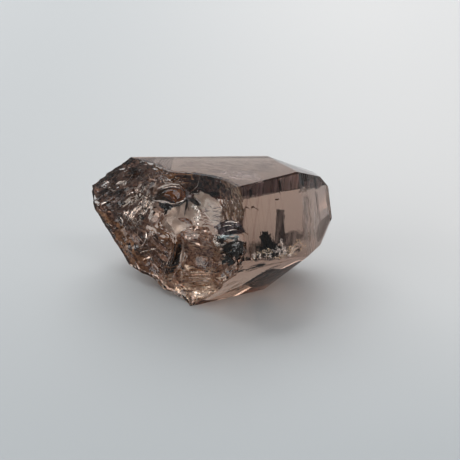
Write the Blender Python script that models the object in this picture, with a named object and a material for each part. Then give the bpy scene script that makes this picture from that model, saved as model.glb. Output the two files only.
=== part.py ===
"""Himalayan smoky quartz: a stubby crystal that lies on a prism face, broken off at its left end.

The crystal is one solid. Its growth faces are flat and meet at crisp edges, and two of them are striated.
Its left end is a conchoidal break: shallow shells that meet at ridges, with ledges across the upper left.
Sizes are in millimetres, and MM turns them into metres. +X runs along the crystal to its grown end, -Y is
the side with the striated faces, and the origin is under the middle of the crystal, on the ground.
"""
import math
import random

import bmesh
import bpy
import numpy as np
from mathutils import Vector, noise

MM = 0.001
CRYSTAL_NAME = "smoky_quartz"
COLLECTION_NAME = "himalayan_smoky_quartz"
CUTTER_COLLECTION_NAME = "cutters"

# Flat faces of the crystal
HEIGHT = 24.0
ROUGH_BLOCK = 90.0
# name: azimuth and elevation of the way the face looks, in degrees, and its distance from the origin
FACES = {
    "top prism face": (0.0, 90.0, HEIGHT),
    "rest prism face": (0.0, -90.0, 0.0),
    "front striated face": (-61.2, 30.0, 20.05),
    "front lower face": (-72.8, -30.8, 6.85),
    "front lower chip": (-67.6, -37.5, 5.95),
    "back upper face": (91.0, 32.0, 16.45),
    "back lower face": (77.4, -29.4, 6.65),
    "end striated face": (-26.2, 20.8, 22.6),
    "end upper face": (38.6, 61.5, 26.4),
    "end corner face": (27.1, 37.9, 28.15),
    "end right face": (25.6, -7.2, 20.05),
    "end back face": (72.0, -25.0, 8.7),
    "end front underside": (-33.0, -41.1, 8.0),
    "end low underside": (-9.5, -39.2, 9.65),
    "left back face": (130.1, -16.4, 16.9),
    "left back underside": (143.4, -51.3, 5.75),
    "left underside": (-179.5, -76.3, 0.9),
}

# Direction of the crystal's long growth axis, which the striations cross
GROWTH_AZIMUTH = 13.0

# Broken end: the way its plane looks, a point in its middle, and the patch around it that the relief covers
BREAK_AZIMUTH = -129.3
BREAK_ELEVATION = 9.6
BREAK_MIDDLE = (-8.15, -3.3, 12.3)
BREAK_ALONG = (-21.5, 20.5)
BREAK_UP = (-14.5, 15.5)
BREAK_SPACING = 0.62
BREAK_CLEARANCE = 14.0
BREAK_ALLOWANCE = 2.0
RIM_HEIGHT = 0.35
RIDGE_SOFTNESS = 0.035
# shells that the break bit out: place along and up from the middle, depth of the floor, radius of curvature
# lengthways and across, and the turn of the long way from level in degrees
SHELLS = (
    (9.5, 10.5, 3.3, 12.0, 12.0, 0.0),
    (5.8, 5.0, 2.1, 14.0, 11.0, 10.0),
    (0.0, 7.6, 2.2, 5.5, 2.4, 6.0),
    (-0.8, 4.6, 2.0, 2.6, 1.6, -20.0),
    (3.0, -4.2, 2.1, 7.0, 0.6, 86.0),
    (7.8, -1.4, 1.9, 7.5, 6.0, 5.0),
    (15.2, 3.2, 2.1, 3.6, 2.8, -30.0),
    (14.2, -2.2, 1.8, 5.5, 3.2, 60.0),
    (10.6, -8.2, 1.4, 9.0, 4.0, 12.0),
    (4.6, -9.8, 1.1, 6.0, 4.5, -60.0),
    (-1.2, -3.0, 1.9, 7.0, 3.4, -72.0),
    (-3.2, -8.0, 1.2, 7.5, 3.0, -28.0),
    (-5.8, -2.2, 1.7, 9.0, 2.6, 24.0),
    (-3.4, 2.2, 1.9, 6.0, 2.4, 68.0),
    (-8.8, 2.4, 1.7, 10.0, 2.6, 38.0),
    (-11.6, -2.4, 1.2, 8.0, 2.8, -42.0),
    (-14.6, 2.6, 1.0, 9.0, 3.0, 36.0),
    (-9.4, 6.6, 1.3, 12.0, 3.2, 34.0),
    (-4.4, 9.4, 0.9, 9.0, 3.6, 12.0),
)
SHELL_REACH = 6.0
SHELL_WARP = 0.7
SHELL_WARP_SCALE = 5.0

# Ledges across the upper left of the break
LEDGE_SPACING = 1.7
LEDGE_HEIGHT = 0.34
LEDGE_SLANT = 37.0
LEDGE_STEP_SHARE = 0.2
LEDGE_WAVER = 0.5
LEDGE_WAVER_SCALE = 6.0
LEDGE_RIGHT_END = -2.5
LEDGE_LOWER_END = 5.0
LEDGE_LOWER_SLOPE = 0.25
LEDGE_FADE = 1.2

# Striations: V grooves across the front and end faces
GROOVE_DEPTH = (0.05, 0.13)
GROOVE_SPACING = (0.55, 1.5)
GROOVE_OPENING = 1.6
SAME_FACE = 0.9999
FRONT_GROOVES = (-4.7, 6.9)
END_GROOVES = (-5.7, 8.7)
GROOVE_SEED = 12

# Smoky glassy surface
QUARTZ_COLOUR = (0.26, 0.18, 0.14, 1.0)
QUARTZ_ROUGHNESS = 0.08


def facing(azimuth, elevation):
    """Unit vector that looks along an azimuth and elevation in degrees."""
    turn = math.radians(azimuth)
    rise = math.radians(elevation)
    return Vector((math.cos(rise) * math.cos(turn), math.cos(rise) * math.sin(turn), math.sin(rise)))


def add_object(name, bm, collection):
    """Object made from a bmesh, in a collection."""
    mesh = bpy.data.meshes.new(name)
    bm.to_mesh(mesh)
    bm.free()
    thing = bpy.data.objects.new(name, mesh)
    collection.objects.link(thing)
    return thing


def add_cutter(name, bm, collection):
    """Object that only cuts: drawn as wires and left out of renders."""
    cutter = add_object(name, bm, collection)
    cutter.display_type = "WIRE"
    cutter.hide_render = True
    return cutter


def break_axes():
    """Directions along, up and out of the break's plane."""
    out = facing(BREAK_AZIMUTH, BREAK_ELEVATION)
    along = Vector((0.0, 0.0, 1.0)).cross(out).normalized()
    return along, out.cross(along), out


def cleaved_block():
    """Block cut down to the crystal's flat faces, and trimmed a little in front of the break."""
    bm = bmesh.new()
    bmesh.ops.create_cube(bm, size=ROUGH_BLOCK * MM)
    break_distance = Vector(BREAK_MIDDLE).dot(break_axes()[2])
    trim = (BREAK_AZIMUTH, BREAK_ELEVATION, break_distance + BREAK_ALLOWANCE)
    for azimuth, elevation, distance in (*FACES.values(), trim):
        outward = facing(azimuth, elevation)
        everything = bm.verts[:] + bm.edges[:] + bm.faces[:]
        cut = bmesh.ops.bisect_plane(
            bm, geom=everything, dist=1e-7, plane_co=outward * distance * MM, plane_no=outward, clear_outer=True
        )
        rim = [piece for piece in cut["geom_cut"] if isinstance(piece, bmesh.types.BMEdge)]
        bmesh.ops.contextual_create(bm, geom=rim)
    bmesh.ops.recalc_face_normals(bm, faces=bm.faces[:])
    return bm


def smooth_noise(along, up, scale, seed):
    """Soft irregular values, one for each place on the break."""
    drift = Vector((7.3, -3.1, 1.7)) * seed
    values = [noise.fractal(Vector((a / scale, u / scale, 0.0)) + drift, 0.9, 2.1, 2) for a, u in zip(along, up)]
    return np.array(values)


def fade(distance, width):
    """Goes smoothly from 0 to 1 as the distance passes zero."""
    return 1.0 / (1.0 + np.exp(-distance / width))


def shell_height(along, up):
    """Deepest shell at each place, with the ridges between shells a little softened."""
    along_warped = along + SHELL_WARP * smooth_noise(along, up, SHELL_WARP_SCALE, 1)
    up_warped = up + SHELL_WARP * smooth_noise(along, up, SHELL_WARP_SCALE, 2)
    total = np.full(along.shape, math.exp(-RIM_HEIGHT / RIDGE_SOFTNESS))
    for middle_along, middle_up, depth, long_radius, cross_radius, turn in SHELLS:
        cosine = math.cos(math.radians(turn))
        sine = math.sin(math.radians(turn))
        lengthways = (along_warped - middle_along) * cosine + (up_warped - middle_up) * sine
        across = (up_warped - middle_up) * cosine - (along_warped - middle_along) * sine
        height = lengthways**2 / (2.0 * long_radius) + across**2 / (2.0 * cross_radius) - depth
        total += np.exp(-np.minimum(height, SHELL_REACH) / RIDGE_SOFTNESS)
    return -RIDGE_SOFTNESS * np.log(total)


def ledge_height(along, up):
    """Slanting ledges, each a slow climb and a short step down, over the upper left of the break."""
    slant = math.radians(LEDGE_SLANT)
    across = up * math.cos(slant) - along * math.sin(slant)
    across = across / LEDGE_SPACING + LEDGE_WAVER * smooth_noise(along, up, LEDGE_WAVER_SCALE, 4)
    climb = across - np.floor(across)
    step = np.minimum(climb / (1.0 - LEDGE_STEP_SHARE), (1.0 - climb) / LEDGE_STEP_SHARE)
    left = fade(LEDGE_RIGHT_END - along, LEDGE_FADE)
    upper = fade(up - LEDGE_LOWER_END - LEDGE_LOWER_SLOPE * along, LEDGE_FADE)
    return left * upper * LEDGE_HEIGHT * (step - 1.0)


def break_cutter():
    """Block whose back is the broken surface, and which reaches well clear of the crystal in front."""
    along_axis, up_axis, out_axis = break_axes()
    width = BREAK_ALONG[1] - BREAK_ALONG[0]
    rise = BREAK_UP[1] - BREAK_UP[0]
    bm = bmesh.new()
    bmesh.ops.create_grid(
        bm, x_segments=round(width / BREAK_SPACING), y_segments=round(rise / BREAK_SPACING), size=0.5
    )
    along = np.array([BREAK_ALONG[0] + (vert.co.x + 0.5) * width for vert in bm.verts])
    up = np.array([BREAK_UP[0] + (vert.co.y + 0.5) * rise for vert in bm.verts])
    height = shell_height(along, up) + ledge_height(along, up)
    middle = Vector(BREAK_MIDDLE)
    for vert, place_along, place_up, lift in zip(bm.verts, along, up, height):
        place = along_axis * float(place_along) + up_axis * float(place_up) + out_axis * float(lift)
        vert.co = (middle + place) * MM
    grown = bmesh.ops.extrude_face_region(bm, geom=bm.faces[:])
    front = middle.dot(out_axis) + BREAK_CLEARANCE
    for vert in grown["geom"]:
        if isinstance(vert, bmesh.types.BMVert):
            vert.co += out_axis * (front * MM - vert.co.dot(out_axis))
    bmesh.ops.recalc_face_normals(bm, faces=bm.faces[:])
    return bm


def sink(vert, outward, depth):
    """Moves a point of a groove's bottom inwards, and an end point along the face that it borders."""
    slide = outward.copy()
    for face in vert.link_faces:
        if abs(face.normal.dot(outward)) < SAME_FACE:
            slide -= face.normal * face.normal.dot(slide)
    vert.co -= slide * (depth * MM / slide.length_squared)


def striate(bm, face_name, span, chance):
    """V grooves of uneven spacing and depth over a flat face, square to the growth axis."""
    azimuth, elevation, distance = FACES[face_name]
    outward = facing(azimuth, elevation)
    groove_way = outward.cross(facing(GROWTH_AZIMUTH, 0.0)).normalized()
    across_way = groove_way.cross(outward)
    place = span[0]
    while place < span[1]:
        depth = chance.uniform(*GROOVE_DEPTH)
        half_width = depth * GROOVE_OPENING
        for line in (place - half_width, place + half_width, place):
            bm.normal_update()
            flat = [face for face in bm.faces if face.normal.dot(outward) > SAME_FACE]
            geometry = {piece for face in flat for piece in (face, *face.edges, *face.verts)}
            cut = bmesh.ops.bisect_plane(
                bm, geom=list(geometry), dist=1e-7, plane_co=(outward * distance + across_way * line) * MM,
                plane_no=across_way
            )
        bm.normal_update()
        for piece in cut["geom_cut"]:
            if isinstance(piece, bmesh.types.BMVert):
                sink(piece, outward, depth)
        place += chance.uniform(*GROOVE_SPACING)


def cut_with(body, cutter):
    """Exact Boolean cut that stays live on the body."""
    cut = body.modifiers.new(cutter.name, "BOOLEAN")
    cut.object = cutter
    cut.operation = "DIFFERENCE"
    cut.solver = "EXACT"


def quartz_material():
    """Smoky brown with a glassy shine."""
    material = bpy.data.materials.new("smoky quartz")
    material.use_nodes = True
    shader = material.node_tree.nodes["Principled BSDF"]
    shader.inputs["Base Color"].default_value = QUARTZ_COLOUR
    shader.inputs["Roughness"].default_value = QUARTZ_ROUGHNESS
    shader.inputs["Metallic"].default_value = 0.0
    return material


def clear_scene():
    """Takes every object out of the scene."""
    for thing in list(bpy.data.objects):
        bpy.data.objects.remove(thing)


def main():
    clear_scene()
    crystal_collection = bpy.data.collections.new(COLLECTION_NAME)
    cutter_collection = bpy.data.collections.new(CUTTER_COLLECTION_NAME)
    bpy.context.scene.collection.children.link(crystal_collection)
    bpy.context.scene.collection.children.link(cutter_collection)
    chance = random.Random(GROOVE_SEED)
    block = cleaved_block()
    striate(block, "front striated face", FRONT_GROOVES, chance)
    striate(block, "end striated face", END_GROOVES, chance)
    crystal = add_object(CRYSTAL_NAME, block, crystal_collection)
    broken = add_cutter("broken_end", break_cutter(), cutter_collection)
    cut_with(crystal, broken)
    crystal.data.materials.append(quartz_material())


main()
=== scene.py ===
"""Looks of the himalayan smoky quartz: a clear, smoky, broken crystal with cracks and stains inside.

The crystal is rebuilt from the same named values as its solid, with finer striations and a finer break. The
cracks, films, stains and specks inside it are thin pieces of their own, placed under the face that they show
through. Sizes are in millimetres, and MM turns them into metres. Only the floor and the lamps are in metres.
"""
import math
import random

import bmesh
import bpy
import numpy as np
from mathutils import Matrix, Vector, noise


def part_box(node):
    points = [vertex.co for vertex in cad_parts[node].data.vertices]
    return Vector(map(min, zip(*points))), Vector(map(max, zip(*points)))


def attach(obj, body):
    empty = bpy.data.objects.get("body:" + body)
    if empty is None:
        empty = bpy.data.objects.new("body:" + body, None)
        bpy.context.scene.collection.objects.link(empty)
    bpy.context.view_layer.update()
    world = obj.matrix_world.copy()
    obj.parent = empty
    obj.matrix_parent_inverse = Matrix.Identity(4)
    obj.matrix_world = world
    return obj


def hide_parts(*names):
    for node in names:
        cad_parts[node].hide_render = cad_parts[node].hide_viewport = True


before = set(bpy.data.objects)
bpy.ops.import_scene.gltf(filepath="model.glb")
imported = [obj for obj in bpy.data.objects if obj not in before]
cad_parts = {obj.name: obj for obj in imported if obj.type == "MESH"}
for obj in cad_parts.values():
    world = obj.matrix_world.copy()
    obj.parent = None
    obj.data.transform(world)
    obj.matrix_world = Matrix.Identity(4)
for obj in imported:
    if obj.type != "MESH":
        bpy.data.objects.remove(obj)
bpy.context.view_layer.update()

MM = 0.001
BODY = "root"
NODE = "smoky_quartz"

# Flat faces of the crystal, cut from a rough block
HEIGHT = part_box(NODE)[1][2] / MM
ROUGH_BLOCK = 90.0
# distance in metres within which a cut takes two points for one
SAME_PLACE = 1e-7
# least size of what is left of straight up, seen along a face, that gives the face a direction along it
LEAST_SLOPE = 0.01
# name: azimuth and elevation of the way the face looks, in degrees, and its distance from the origin
FACES = {
    "top prism face": (0.0, 90.0, HEIGHT),
    "rest prism face": (0.0, -90.0, 0.0),
    "front striated face": (-61.2, 30.0, 20.05),
    "front lower face": (-72.8, -30.8, 6.85),
    "front lower chip": (-67.6, -37.5, 5.95),
    "back upper face": (91.0, 32.0, 16.45),
    "back lower face": (77.4, -29.4, 6.65),
    "end striated face": (-26.2, 20.8, 22.6),
    "end upper face": (38.6, 61.5, 26.4),
    "end corner face": (27.1, 37.9, 28.15),
    "end right face": (25.6, -7.2, 20.05),
    "end back face": (72.0, -25.0, 8.7),
    "end front underside": (-33.0, -41.1, 8.0),
    "end low underside": (-9.5, -39.2, 9.65),
    "left back face": (130.1, -16.4, 16.9),
    "left back underside": (143.4, -51.3, 5.75),
    "left underside": (-179.5, -76.3, 0.9),
}

# Direction of the crystal's long growth axis, which the striations cross
GROWTH_AZIMUTH = 13.0

# Broken end: the way its plane looks, a point in its middle, and the patch around it that the relief covers
BREAK_AZIMUTH = -129.3
BREAK_ELEVATION = 9.6
BREAK_MIDDLE = (-8.15, -3.3, 12.3)
BREAK_ALONG = (-21.5, 20.5)
BREAK_UP = (-14.5, 15.5)
BREAK_SPACING = 0.16
BREAK_CLEARANCE = 14.0
BREAK_ALLOWANCE = 2.0
RIM_HEIGHT = 0.35
RIDGE_SOFTNESS = 0.035
# shells that the break bit out: place along and up from the middle, depth of the floor, radius of curvature
# lengthways and across, and the turn of the long way from level in degrees
SHELLS = (
    (9.5, 10.5, 3.3, 12.0, 12.0, 0.0),
    (5.8, 5.0, 2.1, 14.0, 11.0, 10.0),
    (0.0, 7.6, 2.2, 5.5, 2.4, 6.0),
    (-0.8, 4.6, 2.0, 2.6, 1.6, -20.0),
    (3.0, -4.2, 2.1, 7.0, 0.6, 86.0),
    (7.8, -1.4, 1.9, 7.5, 6.0, 5.0),
    (15.2, 3.2, 2.1, 3.6, 2.8, -30.0),
    (14.2, -2.2, 1.8, 5.5, 3.2, 60.0),
    (10.6, -8.2, 1.4, 9.0, 4.0, 12.0),
    (4.6, -9.8, 1.1, 6.0, 4.5, -60.0),
    (-1.2, -3.0, 1.9, 7.0, 3.4, -72.0),
    (-3.2, -8.0, 1.2, 7.5, 3.0, -28.0),
    (-5.8, -2.2, 1.7, 9.0, 2.6, 24.0),
    (-3.4, 2.2, 1.9, 6.0, 2.4, 68.0),
    (-8.8, 2.4, 1.7, 10.0, 2.6, 38.0),
    (-11.6, -2.4, 1.2, 8.0, 2.8, -42.0),
    (-14.6, 2.6, 1.0, 9.0, 3.0, 36.0),
    (-9.4, 6.6, 1.3, 12.0, 3.2, 34.0),
    (-4.4, 9.4, 0.9, 9.0, 3.6, 12.0),
)
SHELL_REACH = 6.0
SHELL_WARP = 0.7
SHELL_WARP_SCALE = 5.0
SHELL_WARP_SEEDS = (1, 2)

# Ledges across the upper left of the break
LEDGE_SPACING = 1.7
LEDGE_HEIGHT = 0.34
LEDGE_SLANT = 37.0
LEDGE_STEP_SHARE = 0.2
LEDGE_WAVER = 0.5
LEDGE_WAVER_SCALE = 6.0
LEDGE_RIGHT_END = -2.5
LEDGE_LOWER_END = 5.0
LEDGE_LOWER_SLOPE = 0.25
LEDGE_FADE = 1.2
LEDGE_SEED = 4

# Fine relief of the break: ripples round each shell, bumps, grain, and hackle in zones of their own direction
RIPPLE_HEIGHT = 0.02
RIPPLE_PITCH = 0.55
# share by which the pitch grows from one shell to the next, and after how many shells it starts again
RIPPLE_PITCH_STEP = 0.2
RIPPLE_PITCHES = 4
# distance of the ripples' centre from a shell's, and its turn from one shell to the next in radians
RIPPLE_CENTRE = 7.0
RIPPLE_TURN = 2.4
BUMP_HEIGHT = 0.14
BUMP_SCALE = 2.0
BUMP_SEED = 6
GRAIN_HEIGHT = 0.035
GRAIN_SCALE = 0.7
GRAIN_SEED = 5
CREST_SHARPNESS = 2.5
HACKLE_SEED = 11
# middle and half size, both along and up, turn of the crests from level, and height, length, width of a crest
HACKLE_ZONES = (
    (-11.5, 6.5, 8.0, 5.5, 37.0, 0.14, 4.2, 0.85),
    (-7.5, 0.5, 5.0, 4.0, 58.0, 0.15, 3.2, 0.80),
    (-13.5, -1.0, 5.0, 4.5, 45.0, 0.10, 3.0, 0.75),
    (-6.5, -6.0, 6.0, 4.0, -18.0, 0.12, 3.0, 0.80),
    (-1.0, -3.5, 3.2, 5.5, 80.0, 0.12, 2.6, 0.50),
    (7.8, -2.6, 4.6, 3.6, 4.0, 0.03, 3.4, 0.42),
    (8.5, -8.4, 6.0, 2.6, 12.0, 0.05, 4.0, 0.45),
    (0.5, -9.5, 4.5, 2.5, -35.0, 0.10, 2.4, 0.45),
    (15.0, -0.5, 3.0, 4.0, 35.0, 0.06, 1.6, 0.50),
    (15.3, 7.5, 2.6, 4.5, -52.0, 0.05, 3.5, 0.40),
    (-2.6, 10.0, 4.0, 2.4, 8.0, 0.10, 2.4, 0.45),
)
# calmer places: middle and half size, both along and up, and the share of the fine relief that is left out
CALM_ZONES = (
    (6.4, 5.9, 5.4, 3.6, 0.95),
    (7.6, -1.2, 4.8, 3.4, 0.65),
    (-1.0, 6.5, 3.8, 2.0, 0.85),
)

# Noise: how fast its finer layers fade, their step in size, and how many there are
SOFT_NOISE = (0.9, 2.1, 2)
ROUGH_NOISE = (0.8, 2.1, 4)
NOISE_DRIFT = (7.3, -3.1, 1.7)

# Striations: V grooves across the front and end faces, and finer ones between them
# least and greatest depth, least and greatest spacing, and half the width over the depth
DEEP_GROOVES = ((0.05, 0.13), (0.55, 1.5), 1.6)
SHALLOW_GROOVES = ((0.008, 0.022), (0.25, 0.7), 7.0)
# face, the stretch across it that has grooves, and their kind, in the order that they are cut
GROOVE_RUNS = (
    ("front striated face", (-4.7, 6.9), DEEP_GROOVES),
    ("end striated face", (-5.7, 1.5), DEEP_GROOVES),
    ("front striated face", (-4.7, 6.9), SHALLOW_GROOVES),
    ("end striated face", (-5.7, 8.7), SHALLOW_GROOVES),
)
GROOVE_SEED = 12
STRIATED_FACES = ("front striated face", "end striated face")
# least agreement of the ways that two surfaces look, for one face and for what has a face's stripes
SAME_FACE = 0.9999
STRIPED_SLOPE = 0.8
# upward part of the way that the undersides with painted shade look, at most and at least
UNDERSIDE_SLOPE = -0.6
LEVEL_SLOPE = -0.98

# Angles in degrees up to which edges are smooth: on the crystal, and on what lies inside it
SMOOTH_ANGLE = 28.0
INNER_SMOOTH_ANGLE = 50.0

# Pieces inside the crystal, and their least distance from its growth faces and from the break
INNER_ROOM = 0.15
FILM_THICKNESS = 0.03
CRUMPLE_SIZE = 1.2
LUMP_SUBDIVISIONS = 5
BLADE_STEPS = 8
BLADE_TAPER = 0.7
BLADE_HALF_THICKNESS = 0.05
SLIVER_HALF_THICKNESS = 0.03
# greatest bow of a sliver, as a share of half its length
SLIVER_BOW = 0.3
# lean that turns the crumbs under the front face towards the front softbox, in radians
CRUMB_LEAN = -0.124

# Outline of the light window's upper right on the break, along and up
WINDOW_ARC = ((4.0, 6.2), (10.6, 3.2), (11.4, 4.6), (10.2, 6.5), (8.5, 8.0), (6.4, 8.8), (4.6, 9.0),
              (3.7, 8.0))

# What lies in quartz hardly shines, because quartz bends light nearly as much as it does
INNER_SPECULAR = 0.05

# Smoky quartz as a clear material: what it absorbs per metre is the density times one minus each colour
QUARTZ_IOR = 1.55
SMOKE_DENSITY = 78.0
SMOKE_COLOUR = (0.636, 0.452, 0.335, 1.0)

# Noise in materials: its roughness, its span of values, and the size of the crystal's mottle
BLOTCH_ROUGHNESS = 0.55
BLOTCH_CONTRAST = (0.35, 0.65)
MOTTLE_SIZE = 1.6

# Brown stain on the break: its two tints and the size of their blotches, its share everywhere, and what it
# gains towards the left and downwards (start, end and gain)
CLEAR = (1.0, 1.0, 1.0)
STAIN_DARK = (0.79, 0.69, 0.645)
STAIN_WARM = (0.90, 0.79, 0.70)
STAIN_SIZE = 3.5
STAIN_SHARE = 0.24
STAIN_LEFT = (-1.0, -11.0, 0.60)
STAIN_LOW = (10.0, 3.0, 0.45)
# least and greatest mottle, and the factor on the share at each
STAIN_MOTTLE = (0.25, 0.65, 0.45, 1.15)

# Tints of the growth faces: fine stripes, the deeper smoke of the grown end (start, end and greatest share)
# and painted brown shade on the undersides
STRIPE_COLOUR = (0.58, 0.48, 0.46)
STRIPE_SIZE = 0.45
STRIPE_STRETCH = (1.0, 300.0, 300.0)
STRIPE_CONTRAST = (0.42, 0.7, 0.0, 0.75)
END_SMOKE = (3.0, 20.0, 0.62)
UNDERSIDE_SHADE_COLOUR = (0.60, 0.42, 0.31)
UNDERSIDE_SHADE_MOTTLE = (0.3, 0.6, 0.75, 1.0)

# Finishes inside: roughness of the pale blotches over that of the dark ones, and the shades of a smoky film
PALE_ROUGHNESS_SHARE = 0.6
SMOKE_SHADES = (0.6, 1.4)
SMOKE_ROUGHNESS = 0.5

# Camera, at the photograph's angle
VIEW_PITCH = 30.0
VIEW_AIM = (3.65, 1.34, 10.0)
VIEW_DISTANCE = 189.24
PICTURE_PIXELS = 460
FOCAL_PIXELS = 996.0
SENSOR_WIDTH = 36.0
NEAREST = 0.001

# Floor: its reach in metres, its drop below the crystal, and its colours in front and at the back, the paler
# back colour being painted light
FLOOR_SIZE = 3.0
FLOOR_DROP = 0.03
FLOOR_FRONT = (0.45, 0.475, 0.49)
FLOOR_PAINTED_LIGHT_BACK = (0.64, 0.64, 0.64)
FLOOR_ROUGHNESS = 0.8
# where one goes over into the other, front to back and left to right in metres, and the share at the left,
# which together paint a pool of light at the back right
FLOOR_DEEP = (-0.07, 0.03)
FLOOR_ACROSS = (-0.06, 0.06)
FLOOR_LEFT_SHARE = 0.3

# Light: pale surroundings, and softboxes with place and size in metres, power in watts, and colour
SURROUNDINGS_COLOUR = (0.83, 0.86, 0.88, 1.0)
SURROUNDINGS_STRENGTH = 0.40
SOFTBOXES = {
    "back softbox": ((0.36, 0.95, 0.62), (1.3, 1.2), 3.0, (0.97, 0.99, 1.02)),
    "top softbox": ((-0.20, 0.60, 0.75), (1.2, 0.65), 6.0, (1.0, 0.99, 0.98)),
    "side softbox": ((-0.46, 0.96, 0.40), (0.6, 0.7), 0.28, (1.0, 0.97, 0.95)),
    "front softbox": ((0.63, -0.32, 0.71), (0.34, 0.34), 0.85, (1.0, 0.98, 0.96)),
    "left softbox": ((-0.75, -0.35, 0.30), (0.7, 0.5), 2.2, (1.0, 0.99, 0.98)),
}


def facing(azimuth, elevation):
    """Unit vector that looks along an azimuth and elevation in degrees."""
    turn = math.radians(azimuth)
    rise = math.radians(elevation)
    return Vector((math.cos(rise) * math.cos(turn), math.cos(rise) * math.sin(turn), math.sin(rise)))


def mesh_object(name, mesh):
    """Object at the origin that shows a mesh."""
    thing = bpy.data.objects.new(name, mesh)
    bpy.context.scene.collection.objects.link(thing)
    return thing


def bmesh_object(name, bm):
    """Object made from a bmesh."""
    mesh = bpy.data.meshes.new(name)
    bm.to_mesh(mesh)
    bm.free()
    return mesh_object(name, mesh)


def as_plain_mesh(thing, name):
    """New object with the evaluated mesh of another, which is removed."""
    graph = bpy.context.evaluated_depsgraph_get()
    mesh = bpy.data.meshes.new_from_object(thing.evaluated_get(graph))
    mesh.name = name
    bpy.data.objects.remove(thing)
    return mesh_object(name, mesh)


def break_axes():
    """Directions along, up and out of the break's plane."""
    out = facing(BREAK_AZIMUTH, BREAK_ELEVATION)
    along = Vector((0.0, 0.0, 1.0)).cross(out).normalized()
    return along, out.cross(along), out


def cleaved_block():
    """Block cut down to the crystal's flat faces, and trimmed a little in front of the break."""
    bm = bmesh.new()
    bmesh.ops.create_cube(bm, size=ROUGH_BLOCK * MM)
    break_distance = Vector(BREAK_MIDDLE).dot(break_axes()[2])
    trim = (BREAK_AZIMUTH, BREAK_ELEVATION, break_distance + BREAK_ALLOWANCE)
    for azimuth, elevation, distance in (*FACES.values(), trim):
        outward = facing(azimuth, elevation)
        everything = bm.verts[:] + bm.edges[:] + bm.faces[:]
        cut = bmesh.ops.bisect_plane(
            bm, geom=everything, dist=SAME_PLACE, plane_co=outward * distance * MM, plane_no=outward,
            clear_outer=True
        )
        rim = [piece for piece in cut["geom_cut"] if isinstance(piece, bmesh.types.BMEdge)]
        bmesh.ops.contextual_create(bm, geom=rim)
    bmesh.ops.recalc_face_normals(bm, faces=bm.faces[:])
    return bm


def smooth_noise(along, up, scale, seed):
    """Soft irregular values, one for each place on the break."""
    drift = Vector(NOISE_DRIFT) * seed
    values = [
        noise.fractal(Vector((a / scale, u / scale, 0.0)) + drift, *SOFT_NOISE) for a, u in zip(along, up)
    ]
    return np.array(values)


def fade(distance, width):
    """Goes smoothly from 0 to 1 as the distance passes zero."""
    return 1.0 / (1.0 + np.exp(-distance / width))


def turned(along, up, turn):
    """The same place given lengthways and across, where lengthways is turned from level by degrees."""
    cosine = math.cos(math.radians(turn))
    sine = math.sin(math.radians(turn))
    return along * cosine + up * sine, up * cosine - along * sine


def share_in_oval(along, up, oval):
    """1 in the middle of an oval, falling to 0 past its edge."""
    middle_along, middle_up, half_along, half_up = oval
    reach = ((along - middle_along) / half_along) ** 2 + ((up - middle_up) / half_up) ** 2
    return np.exp(-(reach**2))


def shell_heights(along, up):
    """Height of every shell at each place, one row a shell, and the warped places that they are read at."""
    along_warped = along + SHELL_WARP * smooth_noise(along, up, SHELL_WARP_SCALE, SHELL_WARP_SEEDS[0])
    up_warped = up + SHELL_WARP * smooth_noise(along, up, SHELL_WARP_SCALE, SHELL_WARP_SEEDS[1])
    rows = []
    for middle_along, middle_up, depth, long_radius, cross_radius, turn in SHELLS:
        lengthways, across = turned(along_warped - middle_along, up_warped - middle_up, turn)
        height = lengthways**2 / (2.0 * long_radius) + across**2 / (2.0 * cross_radius) - depth
        rows.append(np.minimum(height, SHELL_REACH))
    return np.array(rows), along_warped, up_warped


def ledge_height(along, up):
    """Slanting ledges, each a slow climb and a short step down, over the upper left of the break."""
    across = turned(along, up, LEDGE_SLANT)[1]
    across = across / LEDGE_SPACING + LEDGE_WAVER * smooth_noise(along, up, LEDGE_WAVER_SCALE, LEDGE_SEED)
    climb = across - np.floor(across)
    step = np.minimum(climb / (1.0 - LEDGE_STEP_SHARE), (1.0 - climb) / LEDGE_STEP_SHARE)
    left = fade(LEDGE_RIGHT_END - along, LEDGE_FADE)
    upper = fade(up - LEDGE_LOWER_END - LEDGE_LOWER_SLOPE * along, LEDGE_FADE)
    return left * upper * LEDGE_HEIGHT * (step - 1.0)


def ripple_height(shares, along, up):
    """Ripples round a far centre of each shell, where that shell is the deepest."""
    ripple = np.zeros(along.shape)
    for number, share in enumerate(shares):
        turn = number * RIPPLE_TURN
        centre_along = SHELLS[number][0] + RIPPLE_CENTRE * math.cos(turn)
        centre_up = SHELLS[number][1] + RIPPLE_CENTRE * math.sin(turn)
        reach = np.hypot(along - centre_along, up - centre_up)
        pitch = RIPPLE_PITCH * (1.0 + RIPPLE_PITCH_STEP * (number % RIPPLE_PITCHES))
        ripple += share * np.sin(math.tau * reach / pitch)
    return RIPPLE_HEIGHT * ripple


def hackle_height(along, up):
    """Sharp uneven crests, each zone with its own direction."""
    total = np.zeros(along.shape)
    for number, (*oval, turn, height, length, width) in enumerate(HACKLE_ZONES):
        lengthways, across = turned(along, up, turn)
        unevenness = smooth_noise(lengthways / length, across / width, 1.0, HACKLE_SEED + number)
        crest = 1.0 - CREST_SHARPNESS * np.abs(unevenness)
        total += share_in_oval(along, up, oval) * height * crest
    return total


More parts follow.
